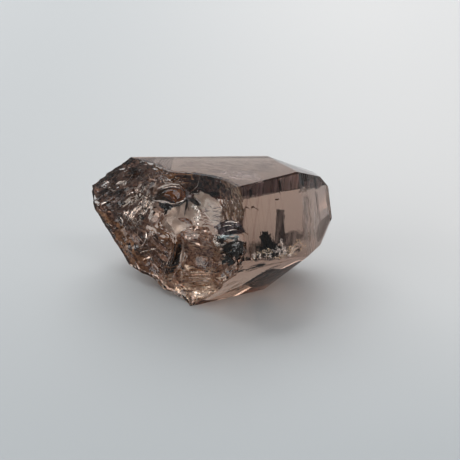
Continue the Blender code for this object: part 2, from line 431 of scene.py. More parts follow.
def break_height(along, up):
    """Height of the break over its plane: shells, ledges and all the fine relief."""
    heights, along_warped, up_warped = shell_heights(along, up)
    lowest = np.minimum(heights.min(0), RIM_HEIGHT)
    rim = np.full((1, along.size), RIM_HEIGHT)
    shares = np.exp(-(np.vstack([heights, rim]) - lowest) / RIDGE_SOFTNESS)
    shell = lowest - RIDGE_SOFTNESS * np.log(shares.sum(0))
    shares = shares[:-1] / shares.sum(0)
    fine = ripple_height(shares, along_warped, up_warped)
    fine += BUMP_HEIGHT * smooth_noise(along, up, BUMP_SCALE, BUMP_SEED)
    fine += GRAIN_HEIGHT * smooth_noise(along, up, GRAIN_SCALE, GRAIN_SEED)
    fine += hackle_height(along_warped, up_warped)
    for *oval, calm in CALM_ZONES:
        fine *= 1.0 - calm * share_in_oval(along, up, oval)
    return shell + ledge_height(along, up) + fine


def break_cutter():
    """Block whose back is the broken surface, and which reaches well clear of the crystal in front."""
    along_axis, up_axis, out_axis = break_axes()
    width = BREAK_ALONG[1] - BREAK_ALONG[0]
    rise = BREAK_UP[1] - BREAK_UP[0]
    bm = bmesh.new()
    bmesh.ops.create_grid(
        bm, x_segments=round(width / BREAK_SPACING), y_segments=round(rise / BREAK_SPACING), size=0.5
    )
    along = np.array([BREAK_ALONG[0] + (vert.co.x + 0.5) * width for vert in bm.verts])
    up = np.array([BREAK_UP[0] + (vert.co.y + 0.5) * rise for vert in bm.verts])
    height = break_height(along, up)
    middle = Vector(BREAK_MIDDLE)
    for vert, place_along, place_up, lift in zip(bm.verts, along, up, height):
        place = along_axis * float(place_along) + up_axis * float(place_up) + out_axis * float(lift)
        vert.co = (middle + place) * MM
    grown = bmesh.ops.extrude_face_region(bm, geom=bm.faces[:])
    front = middle.dot(out_axis) + BREAK_CLEARANCE
    for vert in grown["geom"]:
        if isinstance(vert, bmesh.types.BMVert):
            vert.co += out_axis * (front * MM - vert.co.dot(out_axis))
    bmesh.ops.recalc_face_normals(bm, faces=bm.faces[:])
    return bm


def sink(vert, outward, depth):
    """Moves a point of a groove's bottom inwards, and an end point along the face that it borders."""
    slide = outward.copy()
    for face in vert.link_faces:
        if abs(face.normal.dot(outward)) < SAME_FACE:
            slide -= face.normal * face.normal.dot(slide)
    vert.co -= slide * (depth * MM / slide.length_squared)


def striate(bm, face_name, span, grooves, chance):
    """V grooves of uneven spacing and depth over a flat face, square to the growth axis."""
    depths, spacings, opening = grooves
    azimuth, elevation, distance = FACES[face_name]
    outward = facing(azimuth, elevation)
    groove_way = outward.cross(facing(GROWTH_AZIMUTH, 0.0)).normalized()
    across_way = groove_way.cross(outward)
    place = span[0]
    while place < span[1]:
        depth = chance.uniform(*depths)
        half_width = depth * opening
        for line in (place - half_width, place + half_width, place):
            bm.normal_update()
            flat = [face for face in bm.faces if face.normal.dot(outward) > SAME_FACE]
            geometry = {piece for face in flat for piece in (face, *face.edges, *face.verts)}
            corner = (outward * distance + across_way * line) * MM
            cut = bmesh.ops.bisect_plane(
                bm, geom=list(geometry), dist=SAME_PLACE, plane_co=corner, plane_no=across_way
            )
        bm.normal_update()
        for piece in cut["geom_cut"]:
            if isinstance(piece, bmesh.types.BMVert):
                sink(piece, outward, depth)
        place += chance.uniform(*spacings)


def striated_block():
    """The flat-faced crystal with its grooves, before its end breaks off."""
    bm = cleaved_block()
    chance = random.Random(GROOVE_SEED)
    for face_name, span, grooves in GROOVE_RUNS:
        striate(bm, face_name, span, grooves, chance)
    block = bmesh_object("block", bm)
    block.data.materials.append(bpy.data.materials.new("growth faces"))
    return block


def broken_block():
    """The grooved crystal with its end broken off, whose broken faces have the second material number."""
    block = striated_block()
    cutter = bmesh_object("broken_end", break_cutter())
    cutter.data.materials.append(bpy.data.materials.new("break"))
    cut = block.modifiers.new("break", "BOOLEAN")
    cut.object = cutter
    cut.operation = "DIFFERENCE"
    cut.solver = "EXACT"
    cut.material_mode = "TRANSFER"
    body = as_plain_mesh(block, "smoky_quartz_crystal")
    bpy.data.objects.remove(cutter)
    return body


def mark_faces(body, name, values):
    """Stores a value for each face, which the material reads."""
    mark = body.data.attributes.new(name, "FLOAT", "FACE")
    mark.data.foreach_set("value", values.astype(np.float32))


def crystal_body():
    """The whole crystal, with its broken, striped and lower faces marked."""
    body = broken_block()
    broken = np.zeros(len(body.data.polygons), dtype=np.int32)
    body.data.polygons.foreach_get("material_index", broken)
    normals = np.zeros(3 * len(broken), dtype=np.float32)
    body.data.polygons.foreach_get("normal", normals)
    normals = normals.reshape(-1, 3)
    grooved = [facing(*FACES[name][:2]) for name in STRIATED_FACES]
    striped = (normals @ np.array(grooved).T).max(1) > STRIPED_SLOPE
    # downward faces, which the material darkens with painted shade
    lower = (normals[:, 2] < UNDERSIDE_SLOPE) & (normals[:, 2] > LEVEL_SLOPE)
    mark_faces(body, "broken", broken)
    mark_faces(body, "striped", striped & (broken == 0))
    mark_faces(body, "underside", lower & (broken == 0))
    body.data.polygons.foreach_set("material_index", np.zeros_like(broken))
    body.data.materials.clear()
    body.data.shade_smooth()
    body.data.set_sharp_from_angle(angle=math.radians(SMOOTH_ANGLE))
    return body


def face_axes(face_name):
    """A point of a flat face, and the directions along it, up it and out of it."""
    if face_name == "break":
        return Vector(BREAK_MIDDLE), *break_axes()
    azimuth, elevation, distance = FACES[face_name]
    out = facing(azimuth, elevation)
    level = Vector((0.0, 0.0, 1.0)).cross(out)
    along = level.normalized() if level.length > LEAST_SLOPE else Vector((1.0, 0.0, 0.0))
    return out * distance, along, out.cross(along), out


def places_under(face_name, along, up, depth):
    """Points a depth below a face, or below the shells of the break, as rows of millimetres."""
    corner, along_axis, up_axis, out_axis = (np.array(axis) for axis in face_axes(face_name))
    lift = -np.array(depth, dtype=float)
    if face_name == "break":
        heights = shell_heights(along, up)[0]
        lift = lift + np.minimum(heights.min(0), RIM_HEIGHT)
    flat = corner + np.outer(along, along_axis) + np.outer(up, up_axis)
    return flat + np.outer(lift * np.ones(along.size), out_axis)


def room_inside(points):
    """How far inside the growth faces each point lies, in millimetres."""
    outward = np.array([facing(azimuth, elevation) for azimuth, elevation, distance in FACES.values()])
    distances = np.array([distance for azimuth, elevation, distance in FACES.values()])
    return (distances - points @ outward.T).min(1)


def room_behind_break(points):
    """How far behind the broken surface each point lies, in millimetres square to the break's plane."""
    along_axis, up_axis, out_axis = (np.array(axis) for axis in break_axes())
    from_middle = points - np.array(BREAK_MIDDLE)
    return break_height(from_middle @ along_axis, from_middle @ up_axis) - from_middle @ out_axis


def zone_depth(zone, along, up):
    """How far inside a zone each place lies, in millimetres, with the places along and across its long way.

    A zone is an oval (middle along and up, half length and width, turn of its long way from level in
    degrees), or the corners of an outline that bulges everywhere, anticlockwise.
    """
    if isinstance(zone[0], tuple):
        depth = np.full(along.shape, np.inf)
        for start, end in zip(zone, zone[1:] + zone[:1]):
            run = np.array([end[0] - start[0], end[1] - start[1]])
            run = run / np.hypot(*run)
            depth = np.minimum(depth, (up - start[1]) * run[0] - (along - start[0]) * run[1])
        return depth, along, up
    middle_along, middle_up, half_long, half_cross, turn = zone
    lengthways, across = turned(along - middle_along, up - middle_up, turn)
    depth = (1.0 - np.hypot(lengthways / half_long, across / half_cross)) * min(half_long, half_cross)
    return depth, lengthways, across


def zone_span(zone, margin):
    """Lowest and highest place along and up that a zone can reach."""
    if isinstance(zone[0], tuple):
        corners = np.array(zone)
        return corners.min(0) - margin, corners.max(0) + margin
    reach = max(zone[2], zone[3]) + margin
    return np.array(zone[:2]) - reach, np.array(zone[:2]) + reach


def sheet_grid(low, high, spacing):
    """Flat bmesh grid over a span, with the places of its points along and up."""
    bm = bmesh.new()
    counts = [max(2, round((top - bottom) / spacing)) for bottom, top in zip(low, high)]
    bmesh.ops.create_grid(bm, x_segments=counts[0], y_segments=counts[1], size=0.5)
    along = np.array([low[0] + (vert.co.x + 0.5) * (high[0] - low[0]) for vert in bm.verts])
    up = np.array([low[1] + (vert.co.y + 0.5) * (high[1] - low[1]) for vert in bm.verts])
    return bm, along, up


def patch(name, face_name, zone, depth, seed, ragged=0.4, grain=1.0, crumple=0.0, lace=None, clear=None,
          spacing=0.2):
    """Thin closed sheet under a face: a zone with a ragged outline, crumpled, and broken up like lace.

    Ragged is how far the outline strays, and grain the size of its bays. Lace is the open share, and the
    length and width of its holes. Clear is a zone that the sheet leaves free. Spacing is the size of a
    facet.
    """
    low, high = zone_span(zone, ragged)
    bm, along, up = sheet_grid(low, high, spacing)
    inside, lengthways, across = zone_depth(zone, along, up)
    rough_edge = ragged * smooth_noise(along, up, grain, seed)
    inside = inside + rough_edge
    if clear:
        inside = np.minimum(inside, rough_edge - zone_depth(clear, along, up)[0])
    lift = crumple * smooth_noise(along, up, CRUMPLE_SIZE, seed + 2)
    points = places_under(face_name, along, up, depth + lift)
    inside = np.minimum(inside, room_inside(points) - INNER_ROOM)
    if face_name != "break":
        inside = np.minimum(inside, room_behind_break(points) - INNER_ROOM)
    kept = inside > 0.0
    if lace:
        open_share, hole_length, hole_width = lace
        holes = smooth_noise(lengthways / hole_length, across / hole_width, 1.0, seed + 1)
        kept &= holes > np.quantile(holes[kept], open_share)
    edge = bm.verts.layers.float.new("edge")
    for vert, point, value in zip(bm.verts, points, inside):
        vert.co = Vector(point) * MM
        vert[edge] = value
    kept = dict(zip((vert.index for vert in bm.verts), kept))
    spare = [face for face in bm.faces if not all(kept[vert.index] for vert in face.verts)]
    bmesh.ops.delete(bm, geom=spare, context="FACES")
    sheet = bmesh_object(name, bm)
    wall = sheet.modifiers.new("wall", "SOLIDIFY")
    wall.thickness = FILM_THICKNESS * MM
    wall.offset = 0.0
    return as_plain_mesh(sheet, name)


def lump(name, face_name, zone, depth, thickness, seed, roughness, grain):
    """Closed crumpled lump under a face, flattened along the way that the face looks."""
    middle_along, middle_up, half_along, half_up, turn = zone
    middle = places_under(face_name, np.array([middle_along]), np.array([middle_up]), depth)[0]
    along_axis, up_axis, out_axis = face_axes(face_name)[1:]
    drift = Vector((seed, 0.0, 0.0))
    bm = bmesh.new()
    bmesh.ops.create_icosphere(bm, subdivisions=LUMP_SUBDIVISIONS, radius=1.0)
    for vert in bm.verts:
        way = vert.co.copy()
        spot = Vector((way.x * half_along, way.y * half_up, way.z * thickness)) / grain + drift
        swell = 1.0 + roughness * noise.fractal(spot, *ROUGH_NOISE)
        along, up = turned(way.x * half_along * swell, way.y * half_up * swell, -turn)
        offset = along_axis * along + up_axis * up
        vert.co = (Vector(middle) + offset + out_axis * (way.z * thickness * swell)) * MM
    return bmesh_object(name, bm)


def blades(name, face_name, strokes, depth, half_thickness=BLADE_HALF_THICKNESS):
    """Flat tapered slivers under a face, each from its thick middle to a point at both ends.

    A stroke is its start along and up, its end along and up, its greatest width and how far it bows. The
    depth is one for all strokes, or one for each.
    """
    strokes = np.array(strokes, dtype=float)
    start, end, width, bow = strokes[:, 0:2], strokes[:, 2:4], strokes[:, 4], strokes[:, 5]
    depth = np.broadcast_to(np.array(depth, dtype=float), width.shape)
    run = end - start
    side = np.stack([-run[:, 1], run[:, 0]], 1) / np.hypot(run[:, 0], run[:, 1])[:, None]
    share = np.linspace(0.0, 1.0, BLADE_STEPS + 1)
    swell = np.sin(math.pi * share)
    middle = start[:, None] + run[:, None] * share[:, None] + (side * bow[:, None])[:, None] * swell[:, None]
    half = (side * (0.5 * width)[:, None])[:, None] * (swell**BLADE_TAPER)[:, None]
    corners = np.stack([middle - half, middle, middle + half, middle], 2)
    lift = np.array([0.0, half_thickness, 0.0, -half_thickness]) * np.ones(corners.shape[:3])
    flat = corners.reshape(-1, 2)
    below = (depth[:, None, None] - lift).reshape(-1)
    points = places_under(face_name, flat[:, 0], flat[:, 1], below).reshape(*corners.shape[:3], 3)
    bm = bmesh.new()
    for blade in points:
        tips = [bm.verts.new(Vector(blade[ring].mean(0)) * MM) for ring in (0, -1)]
        rings = [[bm.verts.new(Vector(corner) * MM) for corner in ring] for ring in blade[1:-1]]
        for corner in range(4):
            after = (corner + 1) % 4
            for ring, next_ring in zip(rings, rings[1:]):
                bm.faces.new((ring[corner], ring[after], next_ring[after], next_ring[corner]))
            bm.faces.new((tips[0], rings[0][after], rings[0][corner]))
            bm.faces.new((tips[1], rings[-1][corner], rings[-1][after]))
    bmesh.ops.recalc_face_normals(bm, faces=bm.faces[:])
    return bmesh_object(name, bm)


def slivers(name, face_name, zone, depths, count, lengths, widths, turn, spread, seed):
    """Many blades at random places in an oval zone, about one direction."""
    chance = random.Random(seed)
    middle_along, middle_up, half_long, half_cross, zone_turn = zone
    strokes = []
    for _ in range(count):
        reach = math.sqrt(chance.random())
        way = chance.uniform(0.0, math.tau)
        along, up = turned(half_long * reach * math.cos(way), half_cross * reach * math.sin(way), -zone_turn)
        along += middle_along
        up += middle_up
        slant = math.radians(turn + chance.gauss(0.0, spread))
        half = 0.5 * chance.uniform(*lengths)
        bow = chance.uniform(-SLIVER_BOW, SLIVER_BOW) * half
        run = (half * math.cos(slant), half * math.sin(slant))
        width = chance.uniform(*widths)
        strokes.append((along - run[0], up - run[1], along + run[0], up + run[1], width, bow))
    ends = [[stroke[place:place + 2] for stroke in strokes] for place in (0, 2)]
    room = [room_inside(places_under(face_name, *np.array(spots).T, max(depths))) for spots in ends]
    strokes = [stroke for stroke, fits in zip(strokes, np.minimum(*room) > INNER_ROOM) if fits]
    return blades(name, face_name, strokes, [chance.uniform(*depths) for _ in strokes], SLIVER_HALF_THICKNESS)


def speck_tree():
    """Geometry Nodes that strew small angular specks over a sheet."""
    tree = bpy.data.node_groups.new("strewn specks", "GeometryNodeTree")
    tree.interface.new_socket("Geometry", in_out="OUTPUT", socket_type="NodeSocketGeometry")
    tree.interface.new_socket("Sheet", in_out="INPUT", socket_type="NodeSocketGeometry")
    sockets = {}
    for label, kind in (
        ("Density", "NodeSocketFloat"), ("Seed", "NodeSocketInt"), ("Smallest", "NodeSocketVector"),
        ("Largest", "NodeSocketVector"), ("Way", "NodeSocketVector"), ("Least Tilt", "NodeSocketVector"),
        ("Greatest Tilt", "NodeSocketVector"), ("Finish", "NodeSocketMaterial")
    ):
        sockets[label] = tree.interface.new_socket(label, in_out="INPUT", socket_type=kind).identifier
    given = add_node(tree, "NodeGroupInput").outputs
    strewn = add_node(tree, "GeometryNodeDistributePointsOnFaces", None,
                      {"Mesh": given["Sheet"], "Density": given["Density"], "Seed": given["Seed"]}).outputs
    speck = add_node(tree, "GeometryNodeMeshIcoSphere", None,
                     {"Radius": 1.0, "Subdivisions": 1}).outputs["Mesh"]
    size, tilt = (
        add_node(tree, "FunctionNodeRandomValue", {"data_type": "FLOAT_VECTOR"},
                 {"Min": given[least], "Max": given[most], "Seed": given["Seed"]}).outputs["Value"]
        for least, most in (("Smallest", "Largest"), ("Least Tilt", "Greatest Tilt"))
    )
    lined_up = add_node(tree, "FunctionNodeAlignRotationToVector", {"axis": "X", "pivot_axis": "Z"},
                        {"Rotation": strewn["Rotation"], "Vector": given["Way"]}).outputs["Rotation"]
    swung = add_node(tree, "FunctionNodeRotateRotation", {"rotation_space": "LOCAL"},
                     {"Rotation": lined_up, "Rotate By": tilt}).outputs["Rotation"]
    placed = add_node(tree, "GeometryNodeInstanceOnPoints", None,
                      {"Points": strewn["Points"], "Instance": speck, "Rotation": swung, "Scale": size})
    real = add_node(tree, "GeometryNodeRealizeInstances", None, {"Geometry": placed.outputs["Instances"]})
    finished = add_node(tree, "GeometryNodeSetMaterial", None,
                        {"Geometry": real.outputs["Geometry"], "Material": given["Finish"]})
    add_node(tree, "NodeGroupOutput", None, {"Geometry": finished.outputs["Geometry"]})
    return tree, sockets


def add_node(tree, kind, settings=None, inputs=None):
    """Adds a node, sets its properties, and sets or links its inputs."""
    fresh = tree.nodes.new(kind)
    for name, value in (settings or {}).items():
        setattr(fresh, name, value)
    for name, value in (inputs or {}).items():
        if isinstance(value, bpy.types.NodeSocket):
            tree.links.new(value, fresh.inputs[name])
        else:
            fresh.inputs[name].default_value = value
    return fresh


def new_material(name):
    """Fresh material with its node tree and its main shader."""
    material = bpy.data.materials.new(name)
    material.use_nodes = True
    return material, material.node_tree, material.node_tree.nodes["Principled BSDF"]


def calculate(tree, operation, first, second=0.0, third=0.0):
    """Sum, product or other result of up to three numbers."""
    step = add_node(tree, "ShaderNodeMath", {"operation": operation}, {0: first, 1: second, 2: third})
    return step.outputs[0]


def ramp(tree, value, low, high, at_low=0.0, at_high=1.0):
    """Goes smoothly from one number to another as a value goes from low to high."""
    inputs = {"Value": value, "From Min": low, "From Max": high, "To Min": at_low, "To Max": at_high}
    return add_node(tree, "ShaderNodeMapRange", {"interpolation_type": "SMOOTHSTEP"},
                    inputs).outputs["Result"]


def blotches(tree, place, size, detail=3.0, distortion=0.0):
    """Noise of a given size in millimetres, from 0 to 1."""
    inputs = {"Vector": place, "Scale": 1.0 / (size * MM), "Detail": detail, "Roughness": BLOTCH_ROUGHNESS,
              "Distortion": distortion}
    return add_node(tree, "ShaderNodeTexNoise", None, inputs).outputs["Fac"]


def face_mark(tree, name):
    """Value of an attribute, read in a material."""
    return add_node(tree, "ShaderNodeAttribute", {"attribute_name": name}).outputs["Fac"]


def stain_share(tree, place, mottle):
    """Share of the break's stain: a little everywhere, more at the left and low down, and mottled."""
    parts = add_node(tree, "ShaderNodeSeparateXYZ", None, {0: place}).outputs
    left_start, left_end, left_share = STAIN_LEFT
    low_start, low_end, low_share = STAIN_LOW
    left = ramp(tree, parts["X"], left_start * MM, left_end * MM)
    low = ramp(tree, parts["Z"], low_start * MM, low_end * MM)
    share = calculate(tree, "MULTIPLY_ADD", left, left_share, STAIN_SHARE)
    share = calculate(tree, "MULTIPLY_ADD", low, low_share, share)
    share = calculate(tree, "MULTIPLY", share, ramp(tree, mottle, *STAIN_MOTTLE))
    return calculate(tree, "MINIMUM", calculate(tree, "MULTIPLY", share, face_mark(tree, "broken")), 1.0)


def growth_face_colour(tree, place, mottle):
    """Tint of the growth faces: fine stripes, deeper smoke at the grown end, and painted brown shade
    underneath.
    """
    stretched = turned_place(tree, place, GROWTH_AZIMUTH, STRIPE_STRETCH)
    stripes = ramp(tree, blotches(tree, stretched, STRIPE_SIZE), *STRIPE_CONTRAST)
    stripe_share = calculate(tree, "MULTIPLY", stripes, face_mark(tree, "striped"))
    parts = add_node(tree, "ShaderNodeSeparateXYZ", None, {0: place}).outputs
    start, end, most = END_SMOKE
    end_share = ramp(tree, parts["X"], start * MM, end * MM, 0.0, most)
    share = calculate(tree, "MAXIMUM", stripe_share, end_share)
    colour = mix_colour(tree, share, CLEAR, STRIPE_COLOUR)
    # painted shade: downward faces are tinted dark brown, which also dims light passing down through them
    underside_shade = calculate(tree, "MULTIPLY", face_mark(tree, "underside"), ramp(tree, mottle, *UNDERSIDE_SHADE_MOTTLE))
    return mix_colour(tree, underside_shade, colour, UNDERSIDE_SHADE_COLOUR)


def mix_colour(tree, share, first, second):
    """Blend of two colours."""
    mixer = add_node(tree, "ShaderNodeMix", {"data_type": "RGBA"}, {"Factor": share})
    for socket, value in zip((mixer.inputs[6], mixer.inputs[7]), (first, second)):
        if isinstance(value, bpy.types.NodeSocket):
            tree.links.new(value, socket)
        else:
            socket.default_value = (*value, 1.0)
    return mixer.outputs[2]


def turned_place(tree, place, azimuth, stretch):
    """Object coordinates turned so that X runs along an azimuth, and stretched."""
    inputs = {"Vector": place, "Rotation": (0.0, 0.0, -math.radians(azimuth)), "Scale": stretch}
    return add_node(tree, "ShaderNodeMapping", {"vector_type": "TEXTURE"}, inputs).outputs["Vector"]


def quartz_material():
    """Clear smoky quartz: plain transmission and absorption, tinted growth faces and a stained break."""
    material, tree, shader = new_material("clear smoky quartz")
    place = add_node(tree, "ShaderNodeTexCoord").outputs["Object"]
    mottle = blotches(tree, place, MOTTLE_SIZE, detail=5.0, distortion=1.0)
    stain = mix_colour(tree, blotches(tree, place, STAIN_SIZE), STAIN_DARK, STAIN_WARM)
    break_colour = mix_colour(tree, stain_share(tree, place, mottle), CLEAR, stain)
    growth_colour = growth_face_colour(tree, place, mottle)
    colour = mix_colour(tree, face_mark(tree, "broken"), growth_colour, break_colour)
    tree.links.new(colour, shader.inputs["Base Color"])
    shader.inputs["Roughness"].default_value = 0.0
    shader.inputs["IOR"].default_value = QUARTZ_IOR
    shader.inputs["Transmission Weight"].default_value = 1.0
    smoke = add_node(tree, "ShaderNodeVolumeAbsorption", None,
                     {"Color": SMOKE_COLOUR, "Density": SMOKE_DENSITY})
    tree.links.new(smoke.outputs["Volume"], tree.nodes["Material Output"].inputs["Volume"])
    return material


def mottled_material(name, dark, pale, size, roughness, metallic):
    """Finish that wavers between two colours, for what lies inside the crystal."""
    material, tree, shader = new_material(name)
    place = add_node(tree, "ShaderNodeTexCoord").outputs["Object"]
    pattern = ramp(tree, blotches(tree, place, size, detail=4.0, distortion=0.6), *BLOTCH_CONTRAST)
    tree.links.new(mix_colour(tree, pattern, dark, pale), shader.inputs["Base Color"])
    gloss = ramp(tree, pattern, 0.0, 1.0, roughness, PALE_ROUGHNESS_SHARE * roughness)
    tree.links.new(gloss, shader.inputs["Roughness"])
    shader.inputs["Metallic"].default_value = metallic
    shader.inputs["Specular IOR Level"].default_value = INNER_SPECULAR
    return material


def smoke_material(name, colour, opacity, softness, streak, size, least):
    """See-through smoky film that thins towards its edge and in streaks.

    Softness is the width of the thin edge in millimetres, streak and size the stretch and size of the
    streaks, and least the share of the opacity that the thinnest streaks keep.
    """
    material, tree, shader = new_material(name)
    place = add_node(tree, "ShaderNodeTexCoord").outputs["Object"]
    streaks = blotches(tree, turned_place(tree, place, GROWTH_AZIMUTH, streak), size, detail=4.0)
    thinned = ramp(tree, streaks, *BLOTCH_CONTRAST, least, 1.0)
    cover = calculate(tree, "MULTIPLY", ramp(tree, face_mark(tree, "edge"), 0.0, softness), thinned)
    tree.links.new(calculate(tree, "MULTIPLY", cover, opacity), shader.inputs["Alpha"])
    shades = [[share * part for part in colour] for share in SMOKE_SHADES]
    tree.links.new(mix_colour(tree, streaks, *shades), shader.inputs["Base Color"])
    shader.inputs["Roughness"].default_value = SMOKE_ROUGHNESS
    shader.inputs["Specular IOR Level"].default_value = INNER_SPECULAR
    return material


def floor_material():
    """Plain matt floor, with painted light that makes it a little paler at the back right."""
    material, tree, shader = new_material("pale floor with painted light")
    place = add_node(tree, "ShaderNodeTexCoord").outputs["Object"]
    parts = add_node(tree, "ShaderNodeSeparateXYZ", None, {0: place}).outputs
    # painted light: the floor colour pales towards the back right, as if more light fell there
    right = ramp(tree, parts["X"], *FLOOR_ACROSS, FLOOR_LEFT_SHARE, 1.0)
    back = calculate(tree, "MULTIPLY", ramp(tree, parts["Y"], *FLOOR_DEEP), right)
    tree.links.new(mix_colour(tree, back, FLOOR_FRONT, FLOOR_PAINTED_LIGHT_BACK), shader.inputs["Base Color"])
    shader.inputs["Roughness"].default_value = FLOOR_ROUGHNESS
    return material


def lay_floor():
    """Flat floor just under the crystal."""
    bm = bmesh.new()
    bmesh.ops.create_grid(bm, x_segments=1, y_segments=1, size=FLOOR_SIZE)
    floor = bmesh_object("floor", bm)
    floor.data.materials.append(floor_material())
    floor.location.z = -FLOOR_DROP * MM


def set_camera():
    """Camera that looks down at the crystal from the front."""
    camera = bpy.data.cameras.new("camera")
    camera.sensor_width = SENSOR_WIDTH
    camera.lens = SENSOR_WIDTH * FOCAL_PIXELS / PICTURE_PIXELS
    camera.clip_start = NEAREST
    holder = bpy.data.objects.new("camera", camera)
    bpy.context.scene.collection.objects.link(holder)
    pitch = math.radians(VIEW_PITCH)
    sight = Vector((0.0, math.cos(pitch), -math.sin(pitch)))
    holder.location = (Vector(VIEW_AIM) - sight * VIEW_DISTANCE) * MM
    holder.rotation_euler = (math.radians(90.0) - pitch, 0.0, 0.0)
    bpy.context.scene.camera = holder


def softbox(name, place, size, power, colour):
    """Large soft lamp that faces the crystal."""
    lamp = bpy.data.lights.new(name, "AREA")
    lamp.shape = "RECTANGLE"
    lamp.size, lamp.size_y = size
    lamp.energy = power
    lamp.color = colour
    holder = bpy.data.objects.new(name, lamp)
    holder.location = place
    holder.rotation_euler = (-Vector(place)).to_track_quat("-Z", "Y").to_euler()
    bpy.context.scene.collection.objects.link(holder)


def set_lights():
    """Pale surroundings, and softboxes behind the crystal, above it, at its front right and low left."""
    world = bpy.data.worlds.new("studio")
    bpy.context.scene.world = world
    world.use_nodes = True
    background = world.node_tree.nodes["Background"]
    background.inputs["Color"].default_value = SURROUNDINGS_COLOUR
    background.inputs["Strength"].default_value = SURROUNDINGS_STRENGTH
    for name, softbox_values in SOFTBOXES.items():
        softbox(name, *softbox_values)
    bpy.context.scene.view_settings.view_transform = "Standard"
    bpy.context.scene.view_settings.look = "Medium High Contrast"


def dress(piece, material):
    """Gives a piece its material and ties it to the crystal."""
    piece.data.materials.clear()
    piece.data.materials.append(material)
    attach(piece, BODY)


def add_piece(piece, material):
    """Dresses a piece that lies inside the crystal."""
    dress(piece, material)
    piece.data.shade_smooth()
    piece.data.set_sharp_from_angle(angle=math.radians(INNER_SMOOTH_ANGLE))


def strew(name, face_name, zone, depth, seed, tree, density, smallest, largest, turn, tilt, material,
          lean=0.0, **shape):
    """Adds specks strewn over a zone under a face, their long way turned from level by degrees.

    The tree is the node group and its sockets. Density is specks a square millimetre, and their smallest
    and largest half sizes are length, width and thickness. Tilt is how far they turn at random, and lean
    how far all of them lean over their long way, in radians.
    """
    group, sockets = tree
    sheet = patch(name + "_sheet", face_name, zone, depth, seed, **shape)
    strewing = sheet.modifiers.new("specks", "NODES")
    strewing.node_group = group
    values = {
        "Density": density / MM**2,
        "Seed": seed,
        "Smallest": [size * MM for size in smallest],
        "Largest": [size * MM for size in largest],
        "Way": list(turned(*face_axes(face_name)[1:3], turn)[0]),
        "Least Tilt": [lean - tilt, -tilt, -tilt],
        "Greatest Tilt": [lean + tilt, tilt, tilt],
        "Finish": material,
    }
    for label, value in values.items():
        strewing[sockets[label]] = value
    add_piece(as_plain_mesh(sheet, name), material)


